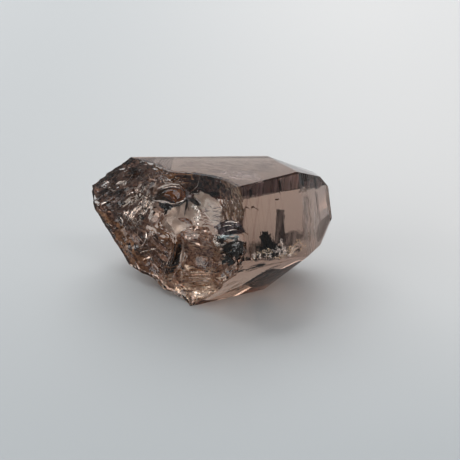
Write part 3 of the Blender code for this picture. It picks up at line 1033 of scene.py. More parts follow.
def inner_materials():
    """Finishes of what lies inside the crystal, by name."""
    # dark colour, pale colour, size of the mottle in millimetres, roughness, metallic share
    finishes = {
        # black finish for specks and lines, and for painted dark reflections
        "black inclusion and painted dark reflection": ((0.006, 0.005, 0.005), (0.035, 0.024, 0.018), 0.5, 0.35, 0.0),
        "golden stain": ((0.80, 0.58, 0.38), (1.0, 0.87, 0.70), 0.3, 0.22, 1.0),
        "brown speck": ((0.04, 0.020, 0.012), (0.14, 0.07, 0.04), 0.4, 0.5, 0.0),
        "dark smoky film": ((0.055, 0.026, 0.018), (0.29, 0.175, 0.135), 1.1, 0.35, 0.3),
        "deep brown film": ((0.020, 0.010, 0.008), (0.12, 0.062, 0.050), 0.9, 0.35, 0.0),
        "brown stained film": ((0.19, 0.095, 0.060), (0.70, 0.46, 0.34), 1.5, 0.35, 0.4),
        "brown healed film": ((0.16, 0.074, 0.034), (0.60, 0.35, 0.20), 0.7, 0.35, 0.2),
        "dark brown film": ((0.09, 0.045, 0.030), (0.34, 0.21, 0.15), 0.8, 0.35, 0.2),
        "warm dome film": ((0.17, 0.078, 0.044), (0.60, 0.355, 0.235), 0.6, 0.45, 0.0),
        "golden dome ripple": ((0.50, 0.29, 0.17), (0.94, 0.68, 0.48), 0.5, 0.40, 0.1),
        "golden bottom film": ((0.74, 0.53, 0.40), (1.0, 0.86, 0.72), 1.2, 0.5, 0.5),
        "bright tip film": ((0.90, 0.70, 0.55), (1.0, 0.88, 0.75), 1.0, 0.4, 1.0),
        "pinkish healed film": ((0.42, 0.28, 0.21), (0.98, 0.78, 0.67), 0.7, 0.35, 0.5),
        # painted light: these pale films stand for the bright floor seen through the window of the break
        "beige window film": ((0.84, 0.70, 0.61), (0.99, 0.88, 0.80), 1.0, 0.30, 1.0),
        "bright beige film": ((0.80, 0.67, 0.58), (0.90, 0.78, 0.69), 1.5, 0.9, 0.5),
        "smooth beige film": ((0.70, 0.57, 0.49), (0.84, 0.71, 0.62), 1.5, 0.6, 0.5),
        "silvery crack flake": ((0.77, 0.67, 0.61), (1.0, 0.94, 0.88), 0.5, 0.18, 1.0),
        "pale grey film": ((0.62, 0.53, 0.49), (1.0, 0.91, 0.86), 0.5, 0.4, 0.3),
        "golden scratch": ((0.56, 0.36, 0.20), (1.0, 0.84, 0.64), 0.4, 0.30, 0.6),
        "dark eye film": ((0.040, 0.017, 0.006), (0.12, 0.056, 0.022), 0.6, 0.4, 0.0),
        "amber eye film": ((0.12, 0.034, 0.005), (0.34, 0.11, 0.022), 0.9, 0.45, 0.0),
        "dark crack shard": ((0.014, 0.008, 0.006), (0.072, 0.044, 0.034), 0.6, 0.25, 0.0),
        "grey crack shard": ((0.16, 0.13, 0.135), (0.55, 0.47, 0.47), 0.6, 0.25, 0.6),
        "pale crack edge": ((0.60, 0.53, 0.49), (1.0, 0.96, 0.92), 0.4, 0.25, 0.8),
        "white sparkle": ((0.90, 0.81, 0.74), (1.0, 0.95, 0.89), 0.3, 0.12, 1.0),
        "reddish wedge": ((0.10, 0.042, 0.032), (0.30, 0.16, 0.12), 0.6, 0.3, 0.0),
        "purplish wedge": ((0.018, 0.013, 0.016), (0.17, 0.12, 0.13), 0.6, 0.25, 0.2),
        # painted highlight: a teal-white film that stands for the reflection of a window
        "teal painted highlight film": ((0.50, 0.60, 0.61), (0.88, 0.98, 0.99), 0.6, 0.25, 0.8),
        # painted shade: the chip looks dark where it mirrors the shaded floor under the crystal
        "painted shade chip film": ((0.008, 0.004, 0.003), (0.07, 0.030, 0.021), 0.8, 0.3, 0.0),
        "brown chip streak": ((0.16, 0.085, 0.062), (0.52, 0.34, 0.27), 0.6, 0.35, 0.1),
    }
    # colour, opacity, width of the thin edge, stretch and size of the streaks, and what thin streaks keep
    smokes = {
        "purplish smoke": ((0.09, 0.050, 0.046), 0.85, 0.4, (1.0, 30.0, 30.0), 0.5, 0.4),
        "faint smoke": ((0.13, 0.082, 0.074), 0.62, 0.5, (1.0, 30.0, 30.0), 0.6, 0.4),
        "brown smoke": ((0.10, 0.052, 0.028), 0.82, 1.6, (1.0, 6.0, 6.0), 0.6, 0.4),
        # painted shade: the dark band under the top edge of the front, lighter towards its right end
        "painted shade band": ((0.30, 0.20, 0.185), 0.82, 0.3, (1.0, 200.0, 200.0), 0.55, 0.5),
        "pale painted shade band": ((0.58, 0.43, 0.39), 0.78, 0.3, (1.0, 200.0, 200.0), 0.55, 0.5),
        "brown end smoke": ((0.22, 0.125, 0.080), 0.60, 0.5, (1.0, 20.0, 20.0), 0.8, 0.4),
        "striped end smoke": ((0.12, 0.078, 0.068), 0.34, 0.7, (1.0, 60.0, 60.0), 0.5, 0.0),
        # painted shade: makes the left corner of the top darker than its right
        "grey painted top shade": ((0.12, 0.085, 0.08), 0.42, 0.3, (1.0, 20.0, 20.0), 0.8, 0.4),
        "grey top wisps": ((0.26, 0.20, 0.20), 0.22, 1.0, (3.0, 1.0, 1.0), 0.9, 0.0),
        "dark edge smoke": ((0.08, 0.062, 0.062), 0.62, 0.12, (2.0, 1.0, 1.0), 0.8, 0.6),
        "pinkish veil": ((0.80, 0.68, 0.66), 0.55, 1.2, (4.0, 1.0, 1.0), 0.5, 0.0),
    }
    looks = {name: mottled_material(name, *finish) for name, finish in finishes.items()}
    return looks | {name: smoke_material(name, *smoke) for name, smoke in smokes.items()}


def front_inclusions_and_dark_reflection(tree, looks):
    """What shows through the front faces: a black patch of painted dark reflection, the smoky bar, marks,
    crumbs and specks.
    """
    black = looks["black inclusion and painted dark reflection"]
    gold = looks["golden stain"]
    sparkle = looks["white sparkle"]
    front = "front striated face"
    # painted dark reflection: black lumps where the front mirrors dark surroundings
    add_piece(lump("front_painted_dark_reflection", front, (3.9, 5.8, 1.15, 1.45, 8.0), 1.2, 0.5, 3, 0.55, 0.7),
              black)
    add_piece(lump("front_painted_dark_reflection_foot", front, (4.5, 4.2, 1.5, 0.9, -4.0), 1.1, 0.4, 8, 0.6, 0.6), black)
    strew("front_black_fringe", front, (3.6, 4.1, 2.2, 1.5, -10.0), 0.62, 21, tree, 40.0, (0.03, 0.02, 0.02),
          (0.36, 0.06, 0.05), 90.0, 0.2, black, ragged=0.6, lace=(0.25, 1.0, 1.6))
    for name, zone, seed in (
        ("brown_smoke_by_black", (1.9, 4.6, 3.0, 1.9, -8.0), 23),
        ("brown_smoke_under_black", (3.9, 3.5, 2.9, 1.4, -4.0), 24),
        ("brown_smoke_by_bar", (7.4, 3.1, 1.9, 1.2, 0.0), 25),
    ):
        add_piece(patch(name, front, zone, 1.2, seed, ragged=0.4, spacing=0.12), looks["brown smoke"])
    bar = ((5.0, 4.6), (7.6, 4.3), (8.9, 10.2), (7.2, 10.7))
    add_piece(patch("smoky_bar", front, bar, 0.9, 31, ragged=0.1, grain=0.6, spacing=0.12),
              looks["purplish smoke"])
    add_piece(patch("smoky_foot", front, (8.8, 4.8, 2.8, 1.5, 4.0), 1.1, 33, ragged=0.3, grain=0.6,
                    spacing=0.12), looks["faint smoke"])
    lines = ((5.35, 6.9, 5.0, 3.2, 0.22, 0.0), (4.85, 6.4, 4.6, 4.2, 0.16, 0.0),
             (2.9, 5.4, 2.6, 3.2, 0.2, 0.0))
    add_piece(blades("dark_lines_by_black", front, lines, 0.8), black)
    glints = ((4.55, 6.15, 4.85, 6.75, 0.34, 0.0), (4.95, 5.7, 4.75, 4.3, 0.12, 0.0),
              (6.7, 3.9, 6.8, 4.7, 0.5, 0.0), (6.3, 3.0, 6.6, 3.5, 0.3, 0.0), (9.1, 2.9, 9.7, 3.1, 0.4, 0.1),
              (9.9, 2.7, 10.3, 3.0, 0.3, 0.0))
    add_piece(blades("front_glints", front, glints, 0.5, 0.12), sparkle)
    marks = ((0.8, 11.5, 2.1, 11.7, 0.30, 0.75), (2.2, 11.3, 3.4, 11.4, 0.30, 0.75),
             (3.2, 11.6, 3.7, 11.2, 0.2, 0.1), (7.3, 12.3, 8.2, 12.2, 0.26, 0.0))
    add_piece(blades("small_dark_marks", front, marks, 0.6), looks["brown speck"])
    strew("golden_stain", front, (4.8, 3.1, 5.6, 1.2, -7.0), 0.5, 41, tree, 34.0, (0.02, 0.03, 0.006),
          (0.08, 0.12, 0.012), 0.0, 0.16, gold, CRUMB_LEAN, lace=(0.35, 0.8, 0.6))
    strew("white_crumbs_front", front, (4.6, 3.2, 5.0, 1.0, -7.0), 0.4, 44, tree, 18.0, (0.03, 0.03, 0.006),
          (0.09, 0.15, 0.015), 0.0, 0.10, sparkle, CRUMB_LEAN, lace=(0.3, 0.8, 0.6))
    strew("crumbs_by_bar", front, (6.6, 3.9, 0.5, 1.7, 0.0), 0.4, 45, tree, 30.0, (0.02, 0.03, 0.006),
          (0.08, 0.14, 0.015), 0.0, 0.10, sparkle, CRUMB_LEAN)
    strew("dark_crumbs", front, (4.6, 3.2, 5.2, 1.2, -7.0), 0.8, 42, tree, 30.0, (0.04, 0.03, 0.02),
          (0.20, 0.08, 0.05), 80.0, 0.5, black, lace=(0.2, 1.2, 0.9))
    strew("golden_glints", front, (9.2, 3.2, 2.4, 1.3, 0.0), 0.5, 43, tree, 20.0, (0.03, 0.03, 0.006),
          (0.10, 0.14, 0.015), 0.0, 0.12, gold, CRUMB_LEAN, lace=(0.4, 0.9, 0.9))
    strew("speck_row", "front lower face", ((0.8, 14.6), (1.6, 14.4), (6.2, 15.8), (6.0, 16.6)), 0.4, 51,
          tree, 40.0, (0.06, 0.03, 0.03), (0.30, 0.12, 0.06), 20.0, 0.15, black, ragged=0.3)
    dashes = ((1.0, 15.0, 2.6, 15.4, 0.5, 0.1), (2.8, 15.2, 4.4, 15.8, 0.45, 0.05),
              (4.2, 15.8, 6.0, 16.4, 0.8, 0.05), (3.2, 16.2, 5.2, 16.6, 0.3, 0.0))
    add_piece(blades("speck_row_dashes", "front lower face", dashes, 0.35), black)
    streaks = ((2.4, 15.7, 6.8, 17.2, 0.35, 0.1), (2.2, 14.0, 8.4, 16.2, 0.5, 0.1),
               (6.2, 15.2, 11.6, 16.4, 0.4, 0.0))
    add_piece(blades("pinkish_streaks_by_specks", "front lower face", streaks, 0.45),
              looks["pinkish healed film"])


def growth_lines(tree, looks):
    """Fine upright lines under the striated faces: dark ones in the smoky band, and light ones in the end."""
    front = "front striated face"
    end = "end striated face"
    dark = ((1.75, 15.3, 1.35, 14.0, 0.3, 0.0), (3.15, 15.3, 2.65, 13.7, 0.4, 0.0),
            (5.6, 15.2, 5.2, 13.6, 0.14, 0.0), (7.2, 15.2, 6.8, 13.4, 0.12, 0.0),
            (9.2, 15.6, 8.5, 12.9, 0.36, 0.0), (11.3, 15.0, 10.9, 13.2, 0.14, 0.0))
    add_piece(blades("dark_lines_in_band", front, dark, 0.42), looks["black inclusion and painted dark reflection"])
    dark_end = ((11.0, 13.8, 10.3, 11.2, 0.95, 0.0), (6.4, 16.2, 5.5, 13.7, 1.10, 0.0),
                (9.8, 11.9, 7.6, 6.4, 0.26, 0.0), (6.6, 11.6, 4.2, 7.4, 0.22, 0.0))
    add_piece(blades("dark_lines_in_end", end, dark_end, 0.42), looks["black inclusion and painted dark reflection"])
    light = ((7.6, 11.4, 2.4, 4.6, 0.60, 0.0), (8.9, 10.6, 3.4, 3.6, 0.60, 0.0),
             (6.1, 12.2, 1.4, 6.0, 0.40, 0.0), (9.6, 9.8, 5.6, 4.6, 0.24, 0.0),
             (5.2, 12.6, 3.6, 10.6, 0.36, 0.0))
    add_piece(blades("light_lines_in_end", end, light, 0.45, 0.02), looks["pale crack edge"])
    frost = ((3.9, 13.6, 5.4, 13.5, 0.50, 0.1), (5.9, 13.6, 7.0, 13.0, 0.40, 0.0),
             (7.4, 12.9, 8.4, 12.4, 0.34, 0.0))
    add_piece(blades("frosty_marks", end, frost, 0.42, 0.2), looks["white sparkle"])
    strew("frosty_crumbs", end, (5.8, 13.4, 2.8, 0.60, -24.0), 0.45, 169, tree, 60.0, (0.05, 0.04, 0.04),
          (0.18, 0.12, 0.10), 60.0, 1.2, looks["white sparkle"], lace=(0.2, 0.6, 0.6))
    strew("golden_crumbs_in_end", end, (2.4, 5.4, 0.7, 1.0, 0.0), 0.5, 170, tree, 26.0, (0.04, 0.03, 0.02),
          (0.16, 0.10, 0.04), 60.0, 0.4, looks["golden stain"])


def smoke_and_painted_shade(looks):
    """Painted shade under the top edge of the front and in the left corner of the top, and deeper smoke in
    the grown end.
    """
    # painted shade: a dark band under the top edge of the front
    for name, zone, seed, look in (
        ("painted_shade_band_under_top_edge", ((1.0, 13.6), (8.9, 13.2), (8.9, 16.0), (1.0, 16.1)), 161,
         "painted shade band"),
        ("pale_band_under_top_edge", ((8.9, 13.2), (13.4, 13.0), (13.4, 15.9), (8.9, 16.0)), 162,
         "pale painted shade band"),
    ):
        add_piece(patch(name, "front striated face", zone, 0.6, seed, ragged=0.05), looks[look])
    corner = ((4.5, 3.0), (7.6, 2.2), (12.0, 3.2), (13.6, 5.2), (7.9, 6.1), (5.0, 4.9))
    add_piece(patch("smoke_in_end", "end striated face", corner, 0.8, 164, ragged=0.15),
              looks["brown end smoke"])
    for name, zone, seed in (
        ("left_stripes_in_end", ((-0.4, 5.8), (1.6, 4.8), (7.2, 11.6), (5.0, 12.8)), 166),
        ("right_stripes_in_end", ((7.4, 5.8), (8.4, 5.4), (10.8, 10.6), (9.4, 11.4)), 168),
    ):
        add_piece(patch(name, "end striated face", zone, 0.7, seed, ragged=0.1, spacing=0.12),
                  looks["striped end smoke"])
    edge = ((11.8, 3.6), (13.4, 4.0), (16.4, 10.4), (14.8, 10.8), (12.2, 8.2))
    add_piece(patch("film_at_end_edge", "end striated face", edge, 0.25, 165, ragged=0.05, spacing=0.1),
              looks["smooth beige film"])
    # painted shade: the dark band goes on under the shoulder of the end
    shoulder = ((4.6, 15.4), (5.4, 13.4), (11.6, 10.6), (13.6, 11.0), (12.0, 12.9))
    add_piece(patch("painted_shade_under_shoulder", "end striated face", shoulder, 0.7, 167, ragged=0.3),
              looks["painted shade band"])
    # painted shade: the left corner of the top made darker than its right
    left = ((-14.5, 4.6), (-10.6, 0.6), (-6.9, -1.0), (-6.7, 5.2), (-14.0, 5.2))
    add_piece(patch("painted_shade_in_left_top", "top prism face", left, 1.0, 171, ragged=0.1),
              looks["grey painted top shade"])
    middle = ((-6.0, 1.0), (5.0, -3.6), (12.0, -1.0), (13.0, 4.0), (-5.0, 4.0))
    add_piece(patch("wisps_under_top", "top prism face", middle, 1.6, 172, ragged=0.4),
              looks["grey top wisps"])
    back = ((-12.0, 3.70), (11.0, 4.10), (11.0, 4.46), (-12.0, 4.06))
    add_piece(patch("dark_line_at_back_edge", "top prism face", back, 0.25, 173, ragged=0.04, spacing=0.08),
              looks["dark edge smoke"])
    add_piece(patch("veil_under_top", "top prism face", (5.6, -2.6, 5.0, 2.4, -14.0), 1.2, 174, ragged=0.8,
                    grain=1.5, crumple=0.4), looks["pinkish veil"])


def chip_film(looks):
    """Dark film of painted shade behind the chipped lower edge of the front, its light rim, and streaks to
    the left of it.
    """
    lower = "front lower face"
    outline = ((4.4, 6.9), (6.1, 5.4), (8.9, 6.0), (9.9, 9.5), (10.4, 12.5), (7.9, 13.6), (6.1, 12.6),
               (4.5, 11.0), (3.5, 9.2))
    # painted shade: a dark film where the chip mirrors the shaded floor
    add_piece(patch("painted_shade_chip_film", lower, outline, 0.9, 61, ragged=0.5, crumple=0.25),
              looks["painted shade chip film"])
    add_piece(slivers("brown_streaks_in_chip", lower, (7.4, 9.4, 3.4, 2.4, 50.0), (0.5, 0.8), 18, (1.0, 3.0),
                      (0.10, 0.34), 46.0, 10.0, 62), looks["brown chip streak"])
    rim = ((5.6, 12.6, 7.9, 14.5, 0.4, -0.15), (7.4, 14.2, 9.4, 14.9, 0.4, -0.1),
           (2.4, 7.6, 4.2, 9.2, 0.4, 0.1))
    add_piece(blades("chip_light_rim", lower, rim, 0.5, 0.14), looks["white sparkle"])
    dark = ((2.8, 8.6, 5.6, 11.6, 0.5, 0.1), (1.8, 6.6, 4.0, 8.4, 0.3, 0.0))
    add_piece(blades("dark_streaks_by_chip", lower, dark, 0.45), looks["painted shade chip film"])
    add_piece(patch("golden_lower_film", lower, (-0.4, 6.2, 7.4, 2.5, 24.0), 0.6, 66, ragged=0.5, grain=1.6,
                    lace=(0.76, 4.0, 0.25), spacing=0.12), looks["golden bottom film"])
    add_piece(slivers("golden_streaks_lower_face", lower, (1.6, 7.2, 4.6, 2.6, 30.0), (0.4, 0.7), 26,
                      (1.2, 4.5), (0.05, 0.18), 36.0, 7.0, 63), looks["golden scratch"])
    add_piece(slivers("brown_streaks_lower_face", lower, (2.0, 9.6, 4.8, 3.2, 30.0), (0.4, 0.7), 16,
                      (1.5, 5.0), (0.05, 0.16), 36.0, 7.0, 64), looks["brown healed film"])


def break_films(looks):
    """Healed and open cracks close under the break: stained films with holes like lace, and slivers."""
    # zone that a film leaves free
    clearings = {"brown_left_base": (4.6, 4.4, 7.2, 4.4, 8.0), "brown_right_film": WINDOW_ARC,
                 "dark_arc_film": WINDOW_ARC}
    # name, zone, depth, seed, lace and finish
    films = (
        ("brown_left_base", (-11.0, 1.2, 10.5, 8.4, 30.0), 1.35, 71, (0.14, 3.6, 0.6), "brown stained film"),
        ("dark_upper_left_film", (-12.6, 5.4, 8.4, 4.2, 36.0), 0.95, 72, (0.40, 4.2, 0.75),
         "dark smoky film"),
        ("brown_top_film", (-2.0, 10.6, 7.4, 1.9, 10.0), 1.0, 73, (0.35, 2.6, 0.4), "brown healed film"),
        ("silvery_film", (-9.0, 2.7, 4.8, 2.5, 48.0), 0.8, 74, (0.42, 3.0, 0.45), "silvery crack flake"),
        ("silvery_film_right", (-7.4, 3.6, 3.4, 1.9, 60.0), 0.65, 76, (0.22, 2.2, 0.35),
         "silvery crack flake"),
        ("silvery_film_top", (-7.2, 5.9, 2.8, 1.5, 55.0), 0.7, 92, (0.30, 2.2, 0.35), "silvery crack flake"),
        ("pinkish_film_by_eye", (-4.7, 3.2, 1.5, 3.8, 0.0), 0.85, 93, (0.15, 1.5, 0.4),
         "pinkish healed film"),
        ("pale_grey_film", (-7.2, 4.4, 3.4, 2.1, 60.0), 0.72, 95, (0.40, 2.2, 0.35), "pale grey film"),
        ("dark_left_rim_film", (-18.4, 1.0, 2.2, 3.2, 0.0), 0.5, 96, (0.15, 2.0, 0.4), "dark smoky film"),
        ("brown_left_tip_film", (-17.4, 1.8, 3.4, 3.6, 0.0), 1.5, 80, None, "dark smoky film"),
        ("dark_lower_left_film", (-11.0, -4.8, 5.2, 3.4, -40.0), 0.9, 75, (0.35, 2.8, 0.7),
         "dark smoky film"),
        ("brown_middle_base", (-0.6, -4.6, 2.6, 2.6, 0.0), 1.4, 83, None, "brown healed film"),
        ("brown_by_window_film", (-3.2, -3.2, 2.8, 4.0, -10.0), 1.1, 77, (0.40, 2.2, 0.5),
         "brown healed film"),
        ("brown_lower_base", (-3.4, -7.4, 9.0, 3.6, -28.0), 1.0, 78, (0.06, 2.6, 0.4), "brown stained film"),
        ("lower_left_rim_film", (-9.0, -8.2, 10.5, 2.6, -36.0), 0.45, 79, (0.12, 2.6, 0.4),
         "brown healed film"),
        ("golden_bottom_film", (5.6, -8.6, 9.0, 4.0, 20.0), 1.0, 84, (0.10, 3.4, 0.4), "golden bottom film"),
        ("golden_tip_film", (6.4, -11.6, 6.0, 1.8, 12.0), 0.5, 85, (0.30, 2.4, 0.4), "bright tip film"),
        ("pinkish_film_by_patch", (12.2, -0.9, 2.6, 3.2, 10.0), 0.95, 86, (0.18, 1.6, 0.3), "warm dome film"),
        ("brown_lower_right_film", (14.2, -4.4, 4.2, 2.8, 35.0), 0.9, 88, (0.14, 2.4, 0.35),
         "warm dome film"),
        ("dome_film", (7.0, -1.3, 5.2, 4.2, 15.0), 0.75, 81, None, "warm dome film"),
        ("pinkish_dome_top_film", (6.8, 0.9, 3.6, 1.9, 10.0), 0.62, 82, (0.30, 2.4, 0.3),
         "pinkish healed film"),
        ("brown_right_film", (12.9, 8.8, 5.4, 4.0, -50.0), 0.75, 87, (0.12, 1.3, 0.3), "dark brown film"),
        ("dark_arc_film", (7.9, 11.2, 6.2, 1.9, 5.0), 0.85, 91, (0.04, 1.0, 0.5), "deep brown film"),
        # painted light: the beige window film stands for light seen through the break
        ("beige_window_film", (7.0, 5.0, 4.6, 3.6, 12.0), 1.3, 94, (0.80, 2.4, 0.22), "beige window film"),
    )
    for name, zone, depth, seed, lace, look in films:
        sheet = patch(name, "break", zone, depth, seed, ragged=0.5, grain=1.6, crumple=0.18, lace=lace,
                      clear=clearings.get(name), spacing=0.14)
        add_piece(sheet, looks[look])
    # name, zone, how many, least and greatest length and width, turn, spread of the turn, seed and finish
    streaks = (
        ("pale_slivers_upper_left", (-12.0, 4.6, 6.4, 3.6, 36.0), 24, (1.4, 4.6), (0.07, 0.24), 36.0, 16.0,
         101, "silvery crack flake"),
        ("dark_slivers_upper_left", (-12.0, 5.2, 8.4, 5.0, 36.0), 100, (1.8, 5.2), (0.25, 0.80), 36.0, 14.0,
         102, "dark smoky film"),
        ("pale_slivers_middle_left", (-9.0, 2.4, 4.6, 2.6, 50.0), 70, (1.2, 4.2), (0.10, 0.38), 55.0, 26.0,
         103, "silvery crack flake"),
        ("dark_slivers_middle_left", (-9.8, 0.6, 4.4, 3.0, 50.0), 16, (1.0, 3.5), (0.15, 0.45), 55.0, 26.0,
         104, "dark smoky film"),
        ("pale_slivers_lower_left", (-7.4, -5.4, 7.2, 3.4, -34.0), 44, (0.8, 3.4), (0.06, 0.22), -25.0, 28.0,
         105, "pinkish healed film"),
        ("brown_slivers_lower_left", (-7.0, -5.4, 7.6, 4.6, -34.0), 50, (1.2, 4.0), (0.15, 0.50), -28.0, 22.0,
         106, "dark smoky film"),
        ("golden_slivers_bottom", (5.2, -8.8, 7.8, 3.0, 20.0), 50, (1.0, 4.4), (0.05, 0.16), 22.0, 10.0, 107,
         "golden dome ripple"),
        ("brown_slivers_bottom", (5.2, -8.4, 8.0, 3.4, 20.0), 50, (1.2, 4.4), (0.08, 0.30), 22.0, 10.0, 108,
         "brown healed film"),
        ("brown_ripples_on_dome", (7.2, -1.6, 4.6, 3.6, 17.0), 40, (1.4, 4.0), (0.08, 0.26), 17.0, 8.0, 109,
         "reddish wedge"),
        ("light_ripples_on_dome", (7.2, -1.6, 4.6, 3.6, 17.0), 30, (1.0, 3.4), (0.06, 0.16), 17.0, 10.0, 110,
         "golden dome ripple"),
        ("golden_scratches_right", (12.4, 8.8, 2.6, 3.8, 0.0), 80, (0.8, 2.8), (0.04, 0.10), -48.0, 24.0, 111,
         "golden scratch"),
        ("brown_lines_in_window", (8.6, 4.9, 2.8, 1.8, 17.0), 44, (0.7, 2.4), (0.04, 0.12), 17.0, 12.0, 115,
         "reddish wedge"),
        ("fine_lines_in_window", (7.8, 5.6, 2.6, 1.7, 17.0), 26, (0.7, 2.0), (0.04, 0.10), 17.0, 8.0, 112,
         "pinkish healed film"),
        ("pale_streaks_by_eye", (-0.8, 9.3, 2.2, 0.9, 14.0), 26, (0.8, 2.8), (0.10, 0.32), 17.0, 18.0, 113,
         "silvery crack flake"),
        ("pale_streaks_top", (-5.4, 8.2, 4.4, 2.2, 30.0), 22, (0.8, 2.4), (0.08, 0.24), 50.0, 40.0, 114,
         "pinkish healed film"),
    )
    for name, zone, count, lengths, widths, turn, spread, seed, look in streaks:
        add_piece(slivers(name, "break", zone, (0.48, 0.76), count, lengths, widths, turn, spread, seed),
                  looks[look])


def eye_and_star(looks):
    """Amber eye in the upper middle of the break, its light rim, the black pit and the star of cracks."""
    eye = ((-4.8, 4.6), (-2.6, 4.75), (-0.5, 5.45), (1.0, 6.05), (2.1, 7.2), (0.4, 8.05), (-1.3, 7.95),
           (-2.7, 7.5), (-3.7, 6.8))
    add_piece(patch("eye_dark_part", "break", eye, 0.6, 111, ragged=0.15, spacing=0.1),
              looks["dark eye film"])
    add_piece(patch("eye_amber_part", "break", (-0.2, 6.7, 2.6, 1.3, 14.0), 0.5, 112, ragged=0.15,
                    spacing=0.1), looks["amber eye film"])
    rims = ((-5.2, 4.2, -1.0, 4.7, 0.5, 0.2), (-1.7, 4.4, 2.3, 6.6, 0.34, -0.15),
            (-4.2, 6.4, 0.6, 8.3, 0.26, 0.5))
    add_piece(blades("eye_rims", "break", rims, 0.42), looks["pale crack edge"])
    above = ((-4.2, 6.9, -0.6, 8.7, 0.5, 0.3), (-2.6, 8.1, 0.7, 8.9, 0.6, 0.15),
             (-2.8, 8.8, 0.0, 9.5, 0.5, 0.1), (-1.0, 9.4, 0.6, 9.9, 0.7, 0.1), (0.4, 8.5, 1.3, 8.8, 0.5, 0.0))
    add_piece(blades("pale_bands_above_eye", "break", above, 0.5), looks["silvery crack flake"])
    add_piece(lump("pit", "break", (-2.5, 3.95, 1.45, 0.78, 0.0), 0.74, 0.22, 5, 0.5, 0.6),
              looks["black inclusion and painted dark reflection"])
    tail = ((-2.4, 4.0, -1.9, 2.0, 0.9, 0.1), (-1.9, 4.3, -0.6, 4.0, 0.5, 0.0))
    add_piece(blades("pit_tail", "break", tail, 0.6), looks["black inclusion and painted dark reflection"])
    hub = ((2.4, 8.9, 3.0, 6.4, 1.2, 0.0), (1.9, 8.5, 3.6, 7.0, 0.9, 0.1), (2.3, 6.9, 3.7, 8.5, 0.8, 0.0))
    add_piece(blades("star_hub", "break", hub, 0.62), looks["grey crack shard"])
    dark = (
        (2.9, 7.9, 4.9, 8.9, 0.55, 0.1), (2.6, 7.3, 5.4, 6.4, 1.0, 0.1), (-0.8, 4.1, 2.6, 6.7, 0.85, 0.1),
        (2.7, 7.1, 2.35, 4.4, 0.42, 0.1), (2.5, 8.4, 3.4, 9.7, 0.7, 0.0), (3.2, 9.0, 5.2, 10.2, 0.5, 0.1),
        (2.4, 5.0, 2.3, 3.4, 0.14, 0.0)
    )
    add_piece(blades("star_shards", "break", dark, 0.55), looks["dark crack shard"])
    light = ((3.3, 8.3, 4.6, 12.0, 0.2, -0.35), (3.5, 7.9, 6.4, 5.9, 0.2, 0.3),
             (3.4, 8.2, 5.0, 8.5, 0.2, 0.0))
    add_piece(blades("star_light_edges", "break", light, 0.42), looks["pale crack edge"])


def window_details(tree, looks):
    """Light window of the break, painted with pale films, with sparkling crumbs, a reddish wedge and a white
    dot.
    """
    left = ((-1.4, 2.1), (4.2, 3.0), (5.2, 5.6), (4.6, 7.4), (2.2, 6.4), (-0.8, 4.0))
    lower_left = ((-2.3, 0.6), (-1.2, -0.9), (1.6, -0.6), (4.4, 2.2), (3.6, 3.2), (-1.4, 2.4))
    # painted light: pale films that stand for the bright floor seen through the window
    for name, zone, seed, look in (
        ("beige_arc_film", WINDOW_ARC, 97, "bright beige film"),
        ("beige_left_film", left, 98, "smooth beige film"),
        ("beige_lower_left_film", lower_left, 99, "smooth beige film"),
    ):
        add_piece(patch(name, "break", zone, 0.9, seed, ragged=0.3, grain=1.6, spacing=0.14), looks[look])
    add_piece(blades("window_wedge", "break", ((1.2, 2.65, 4.4, 2.3, 0.9, 0.25),), 0.5),
              looks["amber eye film"])
    add_piece(blades("window_white_dot", "break", ((5.1, 2.7, 5.9, 2.9, 0.45, 0.0),), 0.5),
              looks["white sparkle"])
    strew("sparkle_crumbs", "break", (4.9, 4.8, 1.8, 1.0, -60.0), 0.45, 121, tree, 46.0, (0.04, 0.03, 0.006),
          (0.24, 0.12, 0.015), 80.0, 0.3, looks["white sparkle"], lace=(0.2, 0.6, 0.6))
    fan = ((3.5, 6.3, 3.9, 4.9, 0.30, 0.1), (3.0, 5.6, 3.2, 4.6, 0.22, 0.0), (4.8, 6.3, 5.0, 4.6, 0.30, 0.1),
           (5.4, 6.0, 6.2, 4.9, 0.16, 0.1), (4.2, 5.9, 4.4, 4.9, 0.18, 0.0), (5.9, 6.6, 7.2, 5.4, 0.12, 0.1),
           (6.4, 7.2, 8.2, 6.2, 0.12, 0.1))
    add_piece(blades("fan_of_sparkles", "break", fan, 0.45, 0.08), looks["white sparkle"])
    ring = ((10.1, 7.2, 11.1, 7.3, 0.16, 0.35), (10.1, 7.2, 11.1, 7.3, 0.16, -0.35))
    add_piece(blades("small_ring", "break", ring, 0.45), looks["pale crack edge"])


